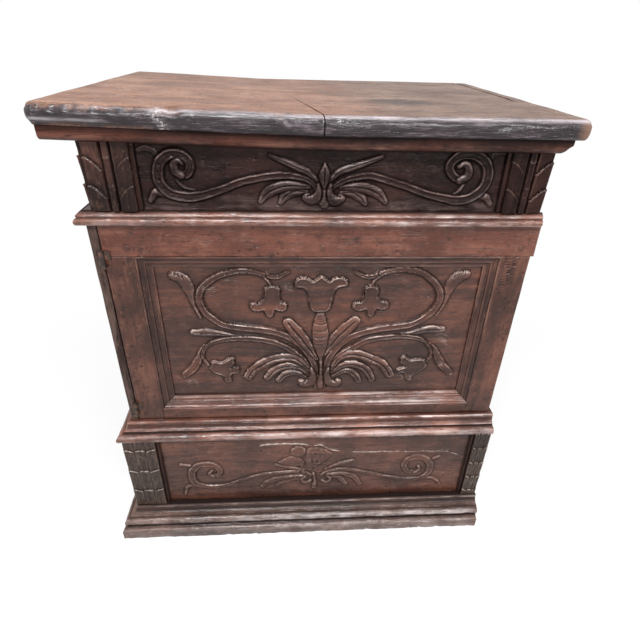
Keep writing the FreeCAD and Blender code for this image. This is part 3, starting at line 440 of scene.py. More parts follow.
def worn_box(low, high, along, radius, seed):
    """Points, faces and wear of a board with rounded, uneven arrises. Along is its grain's axis."""
    across = [axis for axis in range(3) if axis != along]
    size = high - low
    half = size[across] / 2
    radius = min(radius, size.min() * 0.3)
    length = size[along]
    steps = [max(1, int(size[axis] / 60)) for axis in across]
    turns = np.array([0.0, 0.3, 0.65]) * math.pi / 2
    rounding = [(radius * (1 - math.cos(turn)), radius * (1 - math.sin(turn))) for turn in turns]
    inner = np.linspace(radius, length - radius, max(2, int(length / 14)))
    places = rounding + [(place, 0.0) for place in inner]
    places += [(length - place, inset) for place, inset in rounding[::-1]]
    corners = ((1, 1), (-1, 1), (-1, -1), (1, -1))
    rings, wears = [], []
    for place, inset in places:
        ring, ring_wear = [], []
        for number, corner in enumerate(corners):
            own = radius * (1 + 0.45 * float(waves(np.array(place), np.array(number * 37.0), seed, 55)))
            own = min(max(own, radius * 0.35), *size[across] * 0.45)
            following = corners[(number + 1) % 4]
            angles = np.radians(number * 90 + np.array([0, 22.5, 45, 67.5, 90]))
            around = [np.array((math.cos(angle), math.sin(angle))) * own for angle in angles]
            ring += [corner * (half - own) + offset for offset in around]
            ring_wear += [0.8] * len(around)
            last = following * (half - own) + around[-1]
            straight = steps[1] if following[0] == corner[0] else steps[0]
            first = ring[-1]
            ring += [first + (last - first) * (step / straight) for step in range(1, straight)]
            ring_wear += [0.0] * (straight - 1)
        ring = np.array(ring) * ((half - inset) / half)
        sag = 0.25 * waves(ring[:, 0] + place, ring[:, 1], seed + 5, 160)
        ring -= np.sign(ring) * np.abs(sag)[:, None] * (np.abs(ring) > half * 0.5)
        points = np.zeros((len(ring), 3))
        points[:, across] = low[across] + half + ring
        points[:, along] = low[along] + place
        rings.append(points)
        wears.append(ring_wear)
    return *ring_shape(rings), np.array(wears).ravel()


def separate_boxes(node):
    """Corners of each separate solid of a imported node."""
    shape = bmesh.new()
    shape.from_mesh(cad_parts[node].data)
    bmesh.ops.remove_doubles(shape, verts=shape.verts, dist=1e-6)
    left = set(shape.verts)
    boxes = []
    while left:
        grown, edge = set(), [left.pop()]
        while edge:
            vertex = edge.pop()
            grown.add(vertex)
            for link in vertex.link_edges:
                other = link.other_vert(vertex)
                if other in left:
                    left.discard(other)
                    edge.append(other)
        places = np.array([vertex.co for vertex in grown]) / MM
        boxes.append((places.min(axis=0), places.max(axis=0)))
    shape.free()
    return sorted(boxes, key=lambda box: tuple(np.round(box[0], 1)))


def worn_boards(node, body, along, material, slot, radius, seed):
    """Stands for a node of plain boards with the same boards, worn and slightly uneven."""
    shapes, wears = [], []
    for number, (low, high) in enumerate(separate_boxes(node)):
        points, faces, wear_and_highlight = worn_box(low, high, along, radius, seed + number * 11)
        shapes.append((points, faces))
        wears.append(wear_and_highlight)
    new_piece(f"{node}_worn", node, body, material, *join_shapes(shapes), np.concatenate(wears), slot=slot)


def paint_node(node, material):
    """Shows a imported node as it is."""
    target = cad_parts[node]
    target.data.materials.clear()
    target.data.materials.append(material)


# Shader nodes
def new_tree(holder):
    """The emptied node tree of a material or world."""
    holder.use_nodes = True
    holder.node_tree.nodes.clear()
    return holder.node_tree


def add_node(tree, kind, values=None, **settings):
    """A shader node. Values are given by socket name or number, as numbers or as linked sockets."""
    made = tree.nodes.new(kind)
    for name, setting in settings.items():
        setattr(made, name, setting)
    for socket, value in (values or {}).items():
        if isinstance(value, bpy.types.NodeSocket):
            tree.links.new(value, made.inputs[socket])
        else:
            made.inputs[socket].default_value = value
    return made


def object_place(tree):
    return add_node(tree, "ShaderNodeTexCoord").outputs["Object"]


def noise(tree, place, scale, detail, roughness=0.5, distortion=0.0, output=0):
    return add_node(tree, "ShaderNodeTexNoise", {
        "Vector": place, "Scale": scale, "Detail": detail, "Roughness": roughness, "Distortion": distortion,
    }).outputs[output]


def vectors(tree, kind, first, second):
    return add_node(tree, "ShaderNodeVectorMath", {0: first, 1: second}, operation=kind).outputs[0]


def drawn_in(tree, place, along, share):
    """Places drawn together along one axis, which stretches a texture along it."""
    scale = [1.0, 1.0, 1.0]
    scale[along] = share
    return add_node(tree, "ShaderNodeMapping", {"Vector": place, "Scale": tuple(scale)}).outputs[0]


def ramp(tree, factor, stops):
    """A colour ramp; each stop is (place, colour)."""
    made = add_node(tree, "ShaderNodeValToRGB", {0: factor})
    row = made.color_ramp.elements
    while len(row) < len(stops):
        row.new(0.5)
    for element, (place, colour) in zip(row, stops):
        element.position = place
        element.color = (*colour, 1)
    return made.outputs["Color"]


def mix_colour(tree, factor, first, second, blend="MIX"):
    values = {0: factor}
    for socket, colour in ((6, first), (7, second)):
        values[socket] = (*colour, 1) if isinstance(colour, tuple) else colour
    return add_node(tree, "ShaderNodeMix", values, data_type="RGBA", blend_type=blend).outputs[2]


def sums(tree, kind, first, second):
    return add_node(tree, "ShaderNodeMath", {0: first, 1: second}, operation=kind).outputs[0]


def product(tree, first, second):
    return sums(tree, "MULTIPLY", first, second)


def weighed(tree, start, *terms, clamp=False):
    """A start value plus other values, each times a number."""
    total = start
    for value, weight in terms:
        total = sums(tree, "ADD", total, product(tree, value, weight))
    total.node.use_clamp = clamp
    return total


def between(tree, value, low, high, to_low=0.0, to_high=1.0):
    return add_node(tree, "ShaderNodeMapRange", {
        "Value": value, "From Min": low, "From Max": high, "To Min": to_low, "To Max": to_high,
    }).outputs["Result"]


def attribute(tree, name):
    return add_node(tree, "ShaderNodeAttribute", attribute_name=name).outputs["Fac"]


def bumps(tree, relief, distance):
    values = {"Height": relief, "Strength": 0.6, "Distance": distance}
    return add_node(tree, "ShaderNodeBump", values).outputs[0]


def principled(tree, values):
    """The shader of a material, led to its output."""
    shader = add_node(tree, "ShaderNodeBsdfPrincipled", values)
    add_node(tree, "ShaderNodeOutputMaterial", {"Surface": shader.outputs[0]})


# Materials
# Worn is also the tone of painted highlights on lit edges, grime also the tone of painted shade in hollows.
WORN_AND_SHEEN = (0.24, 0.11, 0.075)
GRIME_AND_SHADE = (0.014, 0.008, 0.007)


def walnut(
        name, along, tones, worn=WORN_AND_SHEEN, grime_and_shade=GRIME_AND_SHADE, shine=0.32, gloss=0.12, wax=0.5, rub_and_sheen=0.9, scuffs=0.45,
        pores=0.5):
    """Old waxed walnut with its grain along one axis. Wear and dirt come from the piece's own shades, where
    wear also paints highlights and dirt also paints shade.
    """
    material = bpy.data.materials.new(f"walnut_{name}")
    tree = new_tree(material)
    dark, middle, light = tones
    place = object_place(tree)
    drift = noise(tree, place, 6.0, 2.0, output="Color")
    bent = vectors(tree, "ADD", place, vectors(tree, "MULTIPLY", drift, (0.02, 0.02, 0.02)))
    grain_place = drawn_in(tree, bent, along, 0.07)
    grain = noise(tree, grain_place, 90.0, 6.0, 0.62)
    figure = noise(tree, grain_place, 22.0, 3.0, distortion=0.8)
    pore = between(tree, noise(tree, drawn_in(tree, bent, along, 0.035), 620.0, 2.0), 0.56, 0.7)
    patch = noise(tree, place, 11.0, 6.0, 0.65)
    stain = noise(tree, place, 46.0, 6.0, 0.72)
    fleck = noise(tree, drawn_in(tree, bent, along, 0.3), 210.0, 4.0, 0.65)
    wear_and_highlight, dirt_and_shade = attribute(tree, "wear_and_highlight"), attribute(tree, "dirt_and_shade")
    broken = product(tree, sums(tree, "ADD", sums(tree, "ADD", grain, grain), fleck), 0.33)
    rubbed_and_sheen = product(tree, wear_and_highlight, between(tree, broken, 0.44, 0.56, 0.1 * rub_and_sheen, rub_and_sheen))
    colour = ramp(tree, grain, ((0.3, dark), (0.5, middle), (0.66, light)))
    for share, tone in (
        (0.45, ramp(tree, figure, ((0.35, dark), (0.52, middle), (0.64, light)))),
        (between(tree, patch, 0.46, 0.64, 0.0, 0.8), dark),
        (between(tree, patch, 0.46, 0.34, 0.0, 0.45), light),
        (between(tree, stain, 0.56, 0.74, 0.0, 0.9 * scuffs), worn),
        (between(tree, stain, 0.44, 0.3, 0.0, 0.7), grime_and_shade),
        (between(tree, fleck, 0.6, 0.72, 0.0, scuffs), worn),
        (between(tree, fleck, 0.4, 0.3, 0.0, 0.7), grime_and_shade),
        (product(tree, pore, pores), grime_and_shade),
        # The worn tone over the wear mask is partly a painted highlight; the grime tone over the dirt mask
        # is partly painted shade.
        (rubbed_and_sheen, worn),
        (dirt_and_shade, grime_and_shade),
    ):
        colour = mix_colour(tree, share, colour, tone)
    coat = weighed(tree, wax, (wear_and_highlight, 0.5), (dirt_and_shade, -wax), clamp=True) if wax else 0.0
    rough = between(tree, stain, 0.3, 0.7, shine - 0.07, shine + 0.1)
    rough = weighed(tree, rough, (dirt_and_shade, 0.3), (rubbed_and_sheen, -0.06), clamp=True)
    relief = weighed(tree, product(tree, grain, 0.4), (pore, -0.4), (stain, 1.3), (fleck, 0.5))
    bump = bumps(tree, relief, 0.0011)
    principled(tree, {
        "Base Color": colour, "Roughness": rough, "Normal": bump, "Specular IOR Level": gloss,
        "Coat Weight": coat, "Coat Roughness": 0.15, "Coat Normal": bump})
    return material


def wrought_iron():
    """Dark forged iron with brown and orange rust."""
    material = bpy.data.materials.new("wrought_iron")
    tree = new_tree(material)
    place = object_place(tree)
    rust = noise(tree, place, 120.0, 5.0, 0.65)
    pits = noise(tree, place, 700.0, 3.0)
    colour = ramp(tree, rust, (
        (0.38, (0.03, 0.026, 0.025)), (0.52, (0.08, 0.05, 0.04)),
        (0.66, (0.2, 0.1, 0.055)), (0.76, (0.16, 0.13, 0.11))))
    bump = bumps(tree, weighed(tree, rust, (pits, 0.5)), 0.0006)
    rough = between(tree, rust, 0.35, 0.65, 0.42, 0.8)
    principled(tree, {"Base Color": colour, "Roughness": rough, "Normal": bump, "Metallic": 0.55})
    return material


# Tones of the wood: dark, middle and light
RAIL = ((0.07, 0.021, 0.013), (0.15, 0.05, 0.032), (0.225, 0.088, 0.058))
RED = ((0.035, 0.013, 0.009), (0.095, 0.035, 0.023), (0.18, 0.07, 0.044))
BROWN = ((0.026, 0.011, 0.009), (0.065, 0.026, 0.019), (0.12, 0.052, 0.037))
BLACK = ((0.01, 0.005, 0.004), (0.023, 0.01, 0.009), (0.05, 0.021, 0.017))
# The lid top's pale tones are partly the wood's own colour and partly a painted sheen of the top face.
TOP = ((0.16, 0.068, 0.04), (0.3, 0.15, 0.097), (0.42, 0.23, 0.155))
RAW = ((0.12, 0.066, 0.036), (0.2, 0.118, 0.066), (0.29, 0.18, 0.105))
FLANK = ((0.022, 0.013, 0.012), (0.055, 0.034, 0.03), (0.09, 0.055, 0.047))
FOOT = ((0.045, 0.022, 0.016), (0.12, 0.058, 0.042), (0.2, 0.115, 0.09))
CAP = ((0.06, 0.02, 0.013), (0.19, 0.066, 0.041), (0.33, 0.14, 0.095))
STRIP = ((0.016, 0.007, 0.006), (0.05, 0.018, 0.013), (0.13, 0.045, 0.03))
PANEL = ((0.028, 0.011, 0.008), (0.068, 0.025, 0.017), (0.16, 0.057, 0.034))
LEAVES = (BLACK[0], BLACK[2], BROWN[2])
SCALES = ((0.018, 0.01, 0.007), (0.046, 0.025, 0.017), (0.09, 0.05, 0.034))
DEEP_GRIME_AND_SHADE = (0.004, 0.002, 0.002)
SOFT_GRIME_AND_SHADE = (0.006, 0.004, 0.004)

rail_x = walnut("rail_x", ALONG_X, RAIL, worn=(0.3, 0.15, 0.11))
red_x = walnut("red_x", ALONG_X, RED)
red_z = walnut("red_z", ALONG_Z, RED)
brown_x, brown_y, brown_z = [walnut(f"brown_{axis}", along, BROWN) for along, axis in enumerate("xyz")]
black_z = walnut("black_z", ALONG_Z, BLACK, worn=(0.09, 0.04, 0.03), scuffs=0.2, rub_and_sheen=0.25, wax=0)
raw_x, raw_y, raw_z = [
    walnut(f"raw_{axis}", along, RAW, worn=(0.3, 0.2, 0.12), grime_and_shade=(0.04, 0.024, 0.015), shine=0.75, wax=0)
    for along, axis in enumerate("xyz")
]
flank_z = walnut("flank_z", ALONG_Z, FLANK, worn=(0.13, 0.085, 0.07), wax=0, gloss=0.08)
# The near-white worn tones of the plinth, cap and waist paint highlights on their upward-facing members
# besides wear.
worn_and_sheen_x = walnut("worn_and_sheen_x", ALONG_X, FOOT, worn=(0.7, 0.61, 0.59), wax=0.8, scuffs=0.25)
worn_and_sheen_y = walnut("worn_and_sheen_y", ALONG_Y, FOOT, worn=(0.4, 0.31, 0.28))
cap_x = walnut("cap_x", ALONG_X, CAP, worn=(0.72, 0.6, 0.57), wax=0.8, scuffs=0.2)
cap_y = walnut("cap_y", ALONG_Y, CAP, worn=(0.4, 0.29, 0.25))
strip_x = walnut(
    "strip_x", ALONG_X, STRIP, worn=(0.3, 0.14, 0.1), grime_and_shade=SOFT_GRIME_AND_SHADE, gloss=0.06, wax=0.15, scuffs=0.15)
# The pale worn tones of the carved faces paint highlights on the upper edges of the relief besides wear.
red_carved = walnut("red_carved", ALONG_X, PANEL, worn=(0.5, 0.36, 0.31), wax=0.6, scuffs=0.1)
brown_carved = walnut("brown_carved", ALONG_X, RED, worn=(0.6, 0.45, 0.38), rub_and_sheen=0.95, scuffs=0.1)
brown_carved_z = walnut("brown_carved_z", ALONG_Z, SCALES, worn=(0.55, 0.44, 0.37), wax=0.3, scuffs=0.15)
black_carved = walnut(
    "black_carved", ALONG_X, BLACK, worn=(0.32, 0.22, 0.2), grime_and_shade=DEEP_GRIME_AND_SHADE, gloss=0.03, wax=0.2, rub_and_sheen=0.8,
    scuffs=0.1)
black_carved_z = walnut(
    "black_carved_z", ALONG_Z, LEAVES, worn=(0.2, 0.11, 0.085), grime_and_shade=SOFT_GRIME_AND_SHADE, gloss=0.03, wax=0.3,
    rub_and_sheen=0.6)
blacker_carved_z = walnut(
    "blacker_carved_z", ALONG_Z, BLACK, worn=(0.3, 0.17, 0.13), grime_and_shade=DEEP_GRIME_AND_SHADE, gloss=0.03, wax=0.15,
    rub_and_sheen=0.7, scuffs=0.1)
iron = wrought_iron()

# Carving of the door. Places are millimetres from the door's centre line and above the floor.
DOOR_CARVING = {
    "left": {
        "main_arm": [
            (-4, 338), (-5, 374), (-14, 403), (-28, 427), (-49, 446), (-75, 458), (-109, 465), (-138, 469),
            (-160, 474), (-178, 486), (-190, 500), (-196, 516), (-196, 530), (-190, 544), (-178, 555),
            (-162, 565), (-142, 571), (-122, 573), (-104, 570), (-92, 566)],
        "leaf_end": [(-108, 571), (-90, 566), (-76, 562), (-66, 564), (-53, 571)],
        "stem": [(-104, 568), (-91, 561), (-84, 553), (-79, 542)],
        "outer_leaf": [(-198, 488), (-206, 513), (-210, 534), (-214, 550), (-222, 561), (-233, 565)],
        "short_leaf": [(-138, 451), (-165, 456), (-188, 458), (-213, 459)],
        "second_arm": [
            (-9, 356), (-17, 381), (-31, 404), (-49, 421), (-72, 435), (-98, 443), (-125, 446), (-147, 446),
            (-168, 443), (-186, 437), (-196, 428), (-201, 418), (-202, 407), (-198, 397), (-190, 390)],
        "tail": [(-196, 432), (-205, 414), (-212, 400), (-221, 385), (-237, 370)],
        "low_flower": [
            (-190, 391), (-184, 400), (-170, 397), (-151, 408), (-149, 393), (-157, 384), (-143, 387),
            (-142, 374), (-155, 370), (-157, 354), (-167, 353), (-170, 366), (-184, 373), (-192, 382)],
        "bell": [
            (-91, 540), (-84, 546), (-73, 546), (-66, 539), (-67, 528), (-64, 518), (-57, 515), (-55, 507),
            (-61, 499), (-70, 500), (-75, 502), (-78, 492), (-84, 487), (-90, 492), (-94, 501), (-103, 499),
            (-112, 501), (-116, 509), (-112, 516), (-102, 515), (-95, 521), (-92, 530)],
        "fan_first": [
            (-13, 371), (-25, 389), (-43, 403), (-63, 405), (-84, 400), (-102, 390), (-117, 378),
            (-126, 363)],
        "fan_second": [(-15, 364), (-29, 381), (-45, 387), (-65, 385), (-81, 375), (-92, 361)],
        "fan_third": [(-17, 356), (-33, 369), (-47, 372), (-61, 367), (-71, 355)],
        "volute": [(-13, 380), (-10, 364), (-13, 351), (-21, 345), (-29, 346), (-30, 351)],
        "volute_groove": [(-20, 362), (-23, 354), (-29, 351)],
        "up_leaf": [(-4, 403), (-16, 422), (-30, 444), (-43, 462), (-53, 477)],
    },
    "right": {
        "main_arm": [
            (10, 338), (12, 374), (19, 405), (32, 427), (48, 443), (66, 453), (90, 460), (116, 465),
            (142, 468), (164, 475), (181, 487), (194, 502), (200, 519), (198, 534), (191, 546),
            (178, 559), (162, 569), (144, 574), (126, 575), (109, 572), (97, 568)],
        "leaf_end": [(112, 573), (95, 567), (80, 562), (67, 564), (55, 571)],
        "stem": [(109, 570), (96, 562), (87, 555), (81, 542)],
        "outer_leaf": [(199, 489), (208, 512), (212, 535), (217, 550), (226, 561), (237, 565)],
        "short_leaf": [(144, 452), (166, 455), (188, 460), (214, 460)],
        "second_arm": [
            (16, 356), (23, 390), (36, 407), (55, 422), (77, 436), (99, 443), (121, 446), (144, 447),
            (168, 444), (184, 437), (195, 425), (201, 413), (200, 400), (195, 390)],
        "tail": [(188, 434), (204, 420), (215, 401), (225, 384), (243, 366)],
        "low_flower": [
            (194, 389), (189, 398), (177, 398), (165, 397), (154, 405), (147, 400), (149, 388), (158, 382),
            (144, 376), (146, 367), (157, 366), (162, 352), (171, 350), (174, 361), (187, 370), (197, 382)],
        "bell": [
            (72, 541), (79, 546), (90, 545), (96, 538), (95, 527), (101, 518), (109, 518), (115, 511),
            (111, 503), (103, 500), (94, 502), (91, 493), (86, 486), (80, 491), (77, 501), (67, 498),
            (58, 501), (54, 508), (58, 516), (68, 517), (72, 527)],
        "fan_first": [(22, 378), (36, 402), (55, 411), (75, 408), (97, 398), (116, 386), (131, 363)],
        "fan_second": [(22, 370), (41, 385), (60, 389), (79, 382), (91, 369), (98, 354)],
        "fan_third": [(22, 358), (42, 373), (56, 373), (68, 363), (74, 351)],
        "volute": [(17, 380), (15, 364), (19, 351), (27, 345), (35, 346), (36, 351)],
        "volute_groove": [(26, 362), (29, 354), (35, 351)],
        "up_leaf": [(7, 409), (18, 428), (32, 448), (47, 465), (60, 479)],
    },
    "tulip": [
        (1, 497), (-13, 500), (-18, 513), (-20, 528), (-27, 541), (-41, 544), (-42, 553), (-34, 561),
        (-22, 561), (-13, 555), (-8, 558), (1, 564), (9, 558), (14, 555), (22, 561), (34, 562), (43, 555),
        (42, 546), (28, 542), (21, 529), (19, 514), (14, 501)],
    "tool_marks": [
        ((-192, 548), (24, -5), 4), ((-60, 547), (15, -4), 3), ((-236, 356), (18, 3), 5),
        ((196, 470), (30, -12), 5), ((205, 452), (24, -16), 4), ((212, 400), (16, -10), 4),
        ((150, 360), (22, 4), 3)],
}
DOOR_TALL = 6.0


def door_side(face, side, flip):
    """The arms, leaves and flowers on one side of the door's stem."""
    parts = DOOR_CARVING[side]
    carve(face, parts, DOOR_TALL, flip, (
        ("short_leaf", (3, 8, 12, 14, 10), 0.8, leaf, 1),
        ("outer_leaf", (3, 6, 9, 13, 18, 20, 14), 0.8, reed, 1)))
    for step in range(4):
        across, foot = flip * (217 + 6 * step), 560 + 3 * step
        face.score([(across, foot), (across + flip * 3, foot + 7)], 0.9, 1.5)
    carve(face, parts, DOOR_TALL, flip, (
        ("tail", (7, 12, 15, 16, 13), 0.8, one_rim, -1),
        ("leaf_end", (4, 8, 8, 6), 0.85, one_rim, -1),
        ("stem", (3.5, 3.5), 0.7, reed, 1),
        ("second_arm", (5, 10, 12, 12, 11, 9, 6, 4), 0.9, one_rim, 1),
        ("main_arm", (7, 12, 14, 14, 13, 12, 10, 8), 1, one_rim, 1),
        ("fan_third", (5, 12 * 0.8, 12, 12, 12 * 0.85), 0.9, leaf, 1),
        ("fan_second", (5, 14 * 0.8, 14, 14, 14 * 0.85), 0.9, leaf, 1),
        ("fan_first", (5, 17 * 0.8, 17, 17, 17 * 0.85), 0.9, leaf, 1)))
    for step in range(4):
        across, foot = flip * (98 + 8 * step), 398 - 8 * step
        face.score([(across, foot), (across - flip * 5, foot - 7)], 0.9, 1.6)
    carve(face, parts, DOOR_TALL, flip, (
        ("up_leaf", (8, 14, 20, 22, 17), 0.85, leaf, 1),
        ("volute", (6, 10, 14, 16, 15, 11), 1, reed, 1)))
    face.score(parts["volute_groove"], 1.2, 1.8)
    for flower in ("bell", "low_flower"):
        face.shape(parts[flower], DOOR_TALL * 0.85, 0.3)


def door_panel():
    """The carved panel: a spray to each side of a stem with a bud and a tulip, on a sunk ground."""
    face = CarvedFace(PANEL_LOW, PANEL_HIGH, step=0.85, edge=6)
    inner = 18
    face.sink(PANEL_LOW[0] + inner, PANEL_HIGH[0] - inner, PANEL_LOW[2] + inner, PANEL_HIGH[2] - inner, 4)
    ground = face.height.copy()
    face.height[:] = 0
    door_side(face, "left", -1)
    door_side(face, "right", 1)
    face.stroke([(3, 406), (4, 380), (4, 355), (4, 339)], (5, 5, 6, 9, 12), DOOR_TALL, reed)
    face.stroke([(1, 500), (1, 470), (2, 440), (3, 402)], (8, 22, 27, 22, 6), DOOR_TALL * 0.9, reed)
    for level in (476, 462, 448, 434):
        face.score([(-11, level), (2, level - 2), (14, level)], 1.3, 1.5)
    face.shape(DOOR_CARVING["tulip"], DOOR_TALL * 0.95, 0.3)
    for place, way, count in DOOR_CARVING["tool_marks"]:
        face.tool_marks(place, way, count)
    face.height += ground
    face.roughen(41, 0.22, 26, 60)
    face.build("door_panel_carved", "door_panel", "door", red_carved, keep=0.37)


# Carving of the upper frieze
FRIEZE_CARVING = {
    "left": {
        "arm": [
            (-10, 700), (-14, 710), (-26, 719), (-47, 724), (-72, 724), (-96, 720), (-118, 715), (-140, 706),
            (-158, 700), (-175, 695), (-192, 693), (-209, 695), (-221, 701), (-229, 711), (-231, 722),
            (-229, 734), (-224, 743), (-215, 750), (-204, 752), (-194, 750), (-187, 743), (-186, 733),
            (-191, 725), (-199, 723)],
        "eye": [(-199, 723), (-207, 729), (-207, 739), (-201, 743), (-196, 739)],
        "spur": [(-207, 716), (-198, 707), (-184, 702)],
        "curl": [(-210, 694), (-226, 698), (-237, 699), (-246, 687)],
        "corner_leaf": [(-228, 746), (-233, 755), (-243, 759), (-254, 756)],
        "upper_leaf": [(-11, 717), (-25, 729), (-40, 736), (-58, 744), (-76, 751)],
        "volute": [(-9, 712), (-8, 700), (-12, 692), (-19, 690), (-25, 693)],
        "volute_groove": [(-15, 704), (-19, 698), (-26, 696)],
        "fan_first": [(-22, 709), (-50, 710), (-71, 705), (-84, 697), (-91, 687)],
        "fan_second": [(-26, 702), (-43, 702), (-55, 696), (-63, 685)],
    },
    "right": {
        "arm": [
            (9, 698), (13, 708), (24, 716), (41, 722), (65, 725), (89, 719), (117, 711), (145, 701),
            (171, 695), (192, 691), (210, 693), (224, 701), (233, 713), (235, 728), (231, 741),
            (221, 751), (207, 756), (191, 755), (181, 748), (177, 737), (184, 726), (195, 720)],
        "eye": [(195, 720), (205, 726), (205, 737), (198, 743), (191, 739)],
        "spur": [(188, 698), (196, 704), (202, 714)],
        "curl": [(217, 694), (231, 698), (240, 694), (247, 685)],
        "corner_leaf": [(233, 742), (236, 752), (244, 758), (255, 757)],
        "upper_leaf": [(8, 719), (21, 730), (40, 737), (60, 744), (79, 751)],
        "volute": [(9, 711), (7, 699), (11, 691), (18, 689), (24, 692)],
        "volute_groove": [(14, 703), (18, 697), (25, 695)],
        "fan_first": [(24, 708), (44, 709), (64, 706), (80, 698), (90, 687)],
        "fan_second": [(25, 701), (40, 701), (52, 695), (61, 684)],
    },
}


def frieze_board():
    """The upper frieze: two scrolls from a middle flower, on a ground with a painted sheen along its foot.
    """
    low, high = node_box("frieze_board")
    face = CarvedFace(low, high, step=1.0, edge=4)
    tall = 5.0
    for side, flip in (("left", -1), ("right", 1)):
        parts = FRIEZE_CARVING[side]
        carve(face, parts, tall, flip, (
            ("upper_leaf", (5, 9, 9, 7, 4), 0.8, leaf, 1),
            ("fan_second", (5, 11, 13, 12, 5), 0.8, leaf, 1),
            ("fan_first", (5, 11, 14, 14, 6), 0.85, leaf, 1),
            ("curl", (6, 10, 10, 7), 0.8, reed, 1),
            ("corner_leaf", (4, 6, 6, 3), 0.35, leaf, 1),
            ("spur", (2, 5, 3), 0.7, reed, 1)))
        widths = (5, 8, 11, 11, 11, 12, 15, 16, 16, 15, 13, 11)
        face.stroke(parts["arm"], widths, tall, one_rim, flip, hollow_band)
        carve(face, parts, tall, flip, (
            ("eye", (10, 11, 9, 5), 1, reed, 1),
            ("volute", (5, 9, 13, 15, 12), 1, reed, 1)))
        face.score(parts["volute_groove"], 1.1, 1.8)
    for place in centred([(-228, 738), (-231, 728), (-230, 717), (-225, 705), (-216, 699)]):
        face.bead(place, 1.6, -2.2)
    face.stroke([(0, 714), (0, 700), (0, 684)], (6, 4, 4, 6, 13), tall * 0.9, reed)
    face.stroke([(0, 742), (0, 724), (0, 709)], (1, 8, 14, 12, 5), tall, leaf)
    fillets = separate_boxes("frieze_fillets")
    waist_top = node_box("waist_moulding_front")[1][2]
    strip_low = node_box("lid_strip_front")[0][2]
    face.sink(fillets[0][1][0] - 2, fillets[1][0][0] + 2, waist_top - 4, strip_low + 6, 3.5)
    for place in centred([(-96, 747), (-132, 737), (-168, 744), (150, 741)]):
        face.bead(place, 1.5, -1.5)
    face.roughen(52, 0.2, 24, 30)
    # A painted sheen: the ground is lighter along the frieze's foot.
    patchy = 0.6 + 0.4 * face.uneven(54, 30)
    face.rubbed_and_sheen += 0.3 * patchy * (1 - smooth_step(waist_top + 2, waist_top + 26, face.grid_v))
    face.build("frieze_carved", "frieze_board", "case", black_carved)


# Carving of the base
BASE_CARVING = {
    "left": {
        "arm": [
            (-10, 128), (-22, 136), (-41, 139), (-74, 137), (-105, 134), (-138, 124), (-165, 112),
            (-191, 104), (-211, 102), (-232, 106), (-246, 118), (-248, 137), (-243, 153), (-231, 164),
            (-216, 167), (-201, 162), (-192, 150), (-194, 137), (-206, 132)],
        "eye": [(-206, 132), (-213, 139), (-208, 147)],
        "tip": [(-240, 155), (-250, 163), (-265, 167)],
        "curl": [(-235, 101), (-250, 107), (-261, 100), (-267, 80)],
        "upper_leaf": [(-24, 139), (-54, 152), (-82, 160)],
        "fan_first": [(-22, 124), (-50, 124), (-80, 118), (-100, 110), (-110, 98)],
        "fan_second": [(-22, 118), (-44, 117), (-66, 111), (-78, 100)],
        "volute": [(-12, 112), (-18, 106), (-27, 108), (-30, 116), (-24, 122)],
    },
    "right": {
        "arm": [
            (10, 128), (22, 137), (40, 141), (57, 142), (83, 136), (113, 127), (137, 119), (165, 111),
            (195, 106), (218, 111), (232, 127), (231, 150), (218, 166), (200, 171), (185, 165), (178, 149),
            (186, 131), (202, 127)],
        "eye": [(202, 127), (211, 135), (208, 144)],
        "tip": [(231, 152), (237, 164), (248, 170)],
        "curl": [(219, 106), (238, 108), (252, 100), (260, 88)],
        "upper_leaf": [(18, 143), (48, 159), (72, 166)],
        "fan_first": [(22, 128), (52, 129), (76, 119), (90, 97)],
        "fan_second": [(22, 119), (45, 117), (61, 99)],
        "volute": [(12, 112), (18, 106), (26, 108), (29, 116), (23, 122)],
    },
    "lumps": [
        [(-76, 165), (-62, 176), (-47, 182), (-32, 174), (-26, 158), (-42, 155), (-60, 158)],
        [(-18, 199), (-6, 204), (12, 200), (24, 193), (31, 185), (22, 174), (10, 163), (-4, 151), (-14, 142),
         (-19, 158), (-21, 180)],
        [(-50, 187), (-50, 199), (-42, 207), (-31, 207), (-23, 199), (-25, 186), (-38, 180)]],
    "splits": [
        ([(-118, 209), (-104, 215), (-69, 217), (-42, 216), (-24, 214), (-10, 209)], 1.1),
        ([(-8, 209), (8, 211), (21, 203), (32, 197), (48, 193)], 1.0),
        ([(60, 190), (100, 189), (140, 189), (190, 187), (240, 186), (268, 183), (298, 168)], 1.0)],
}


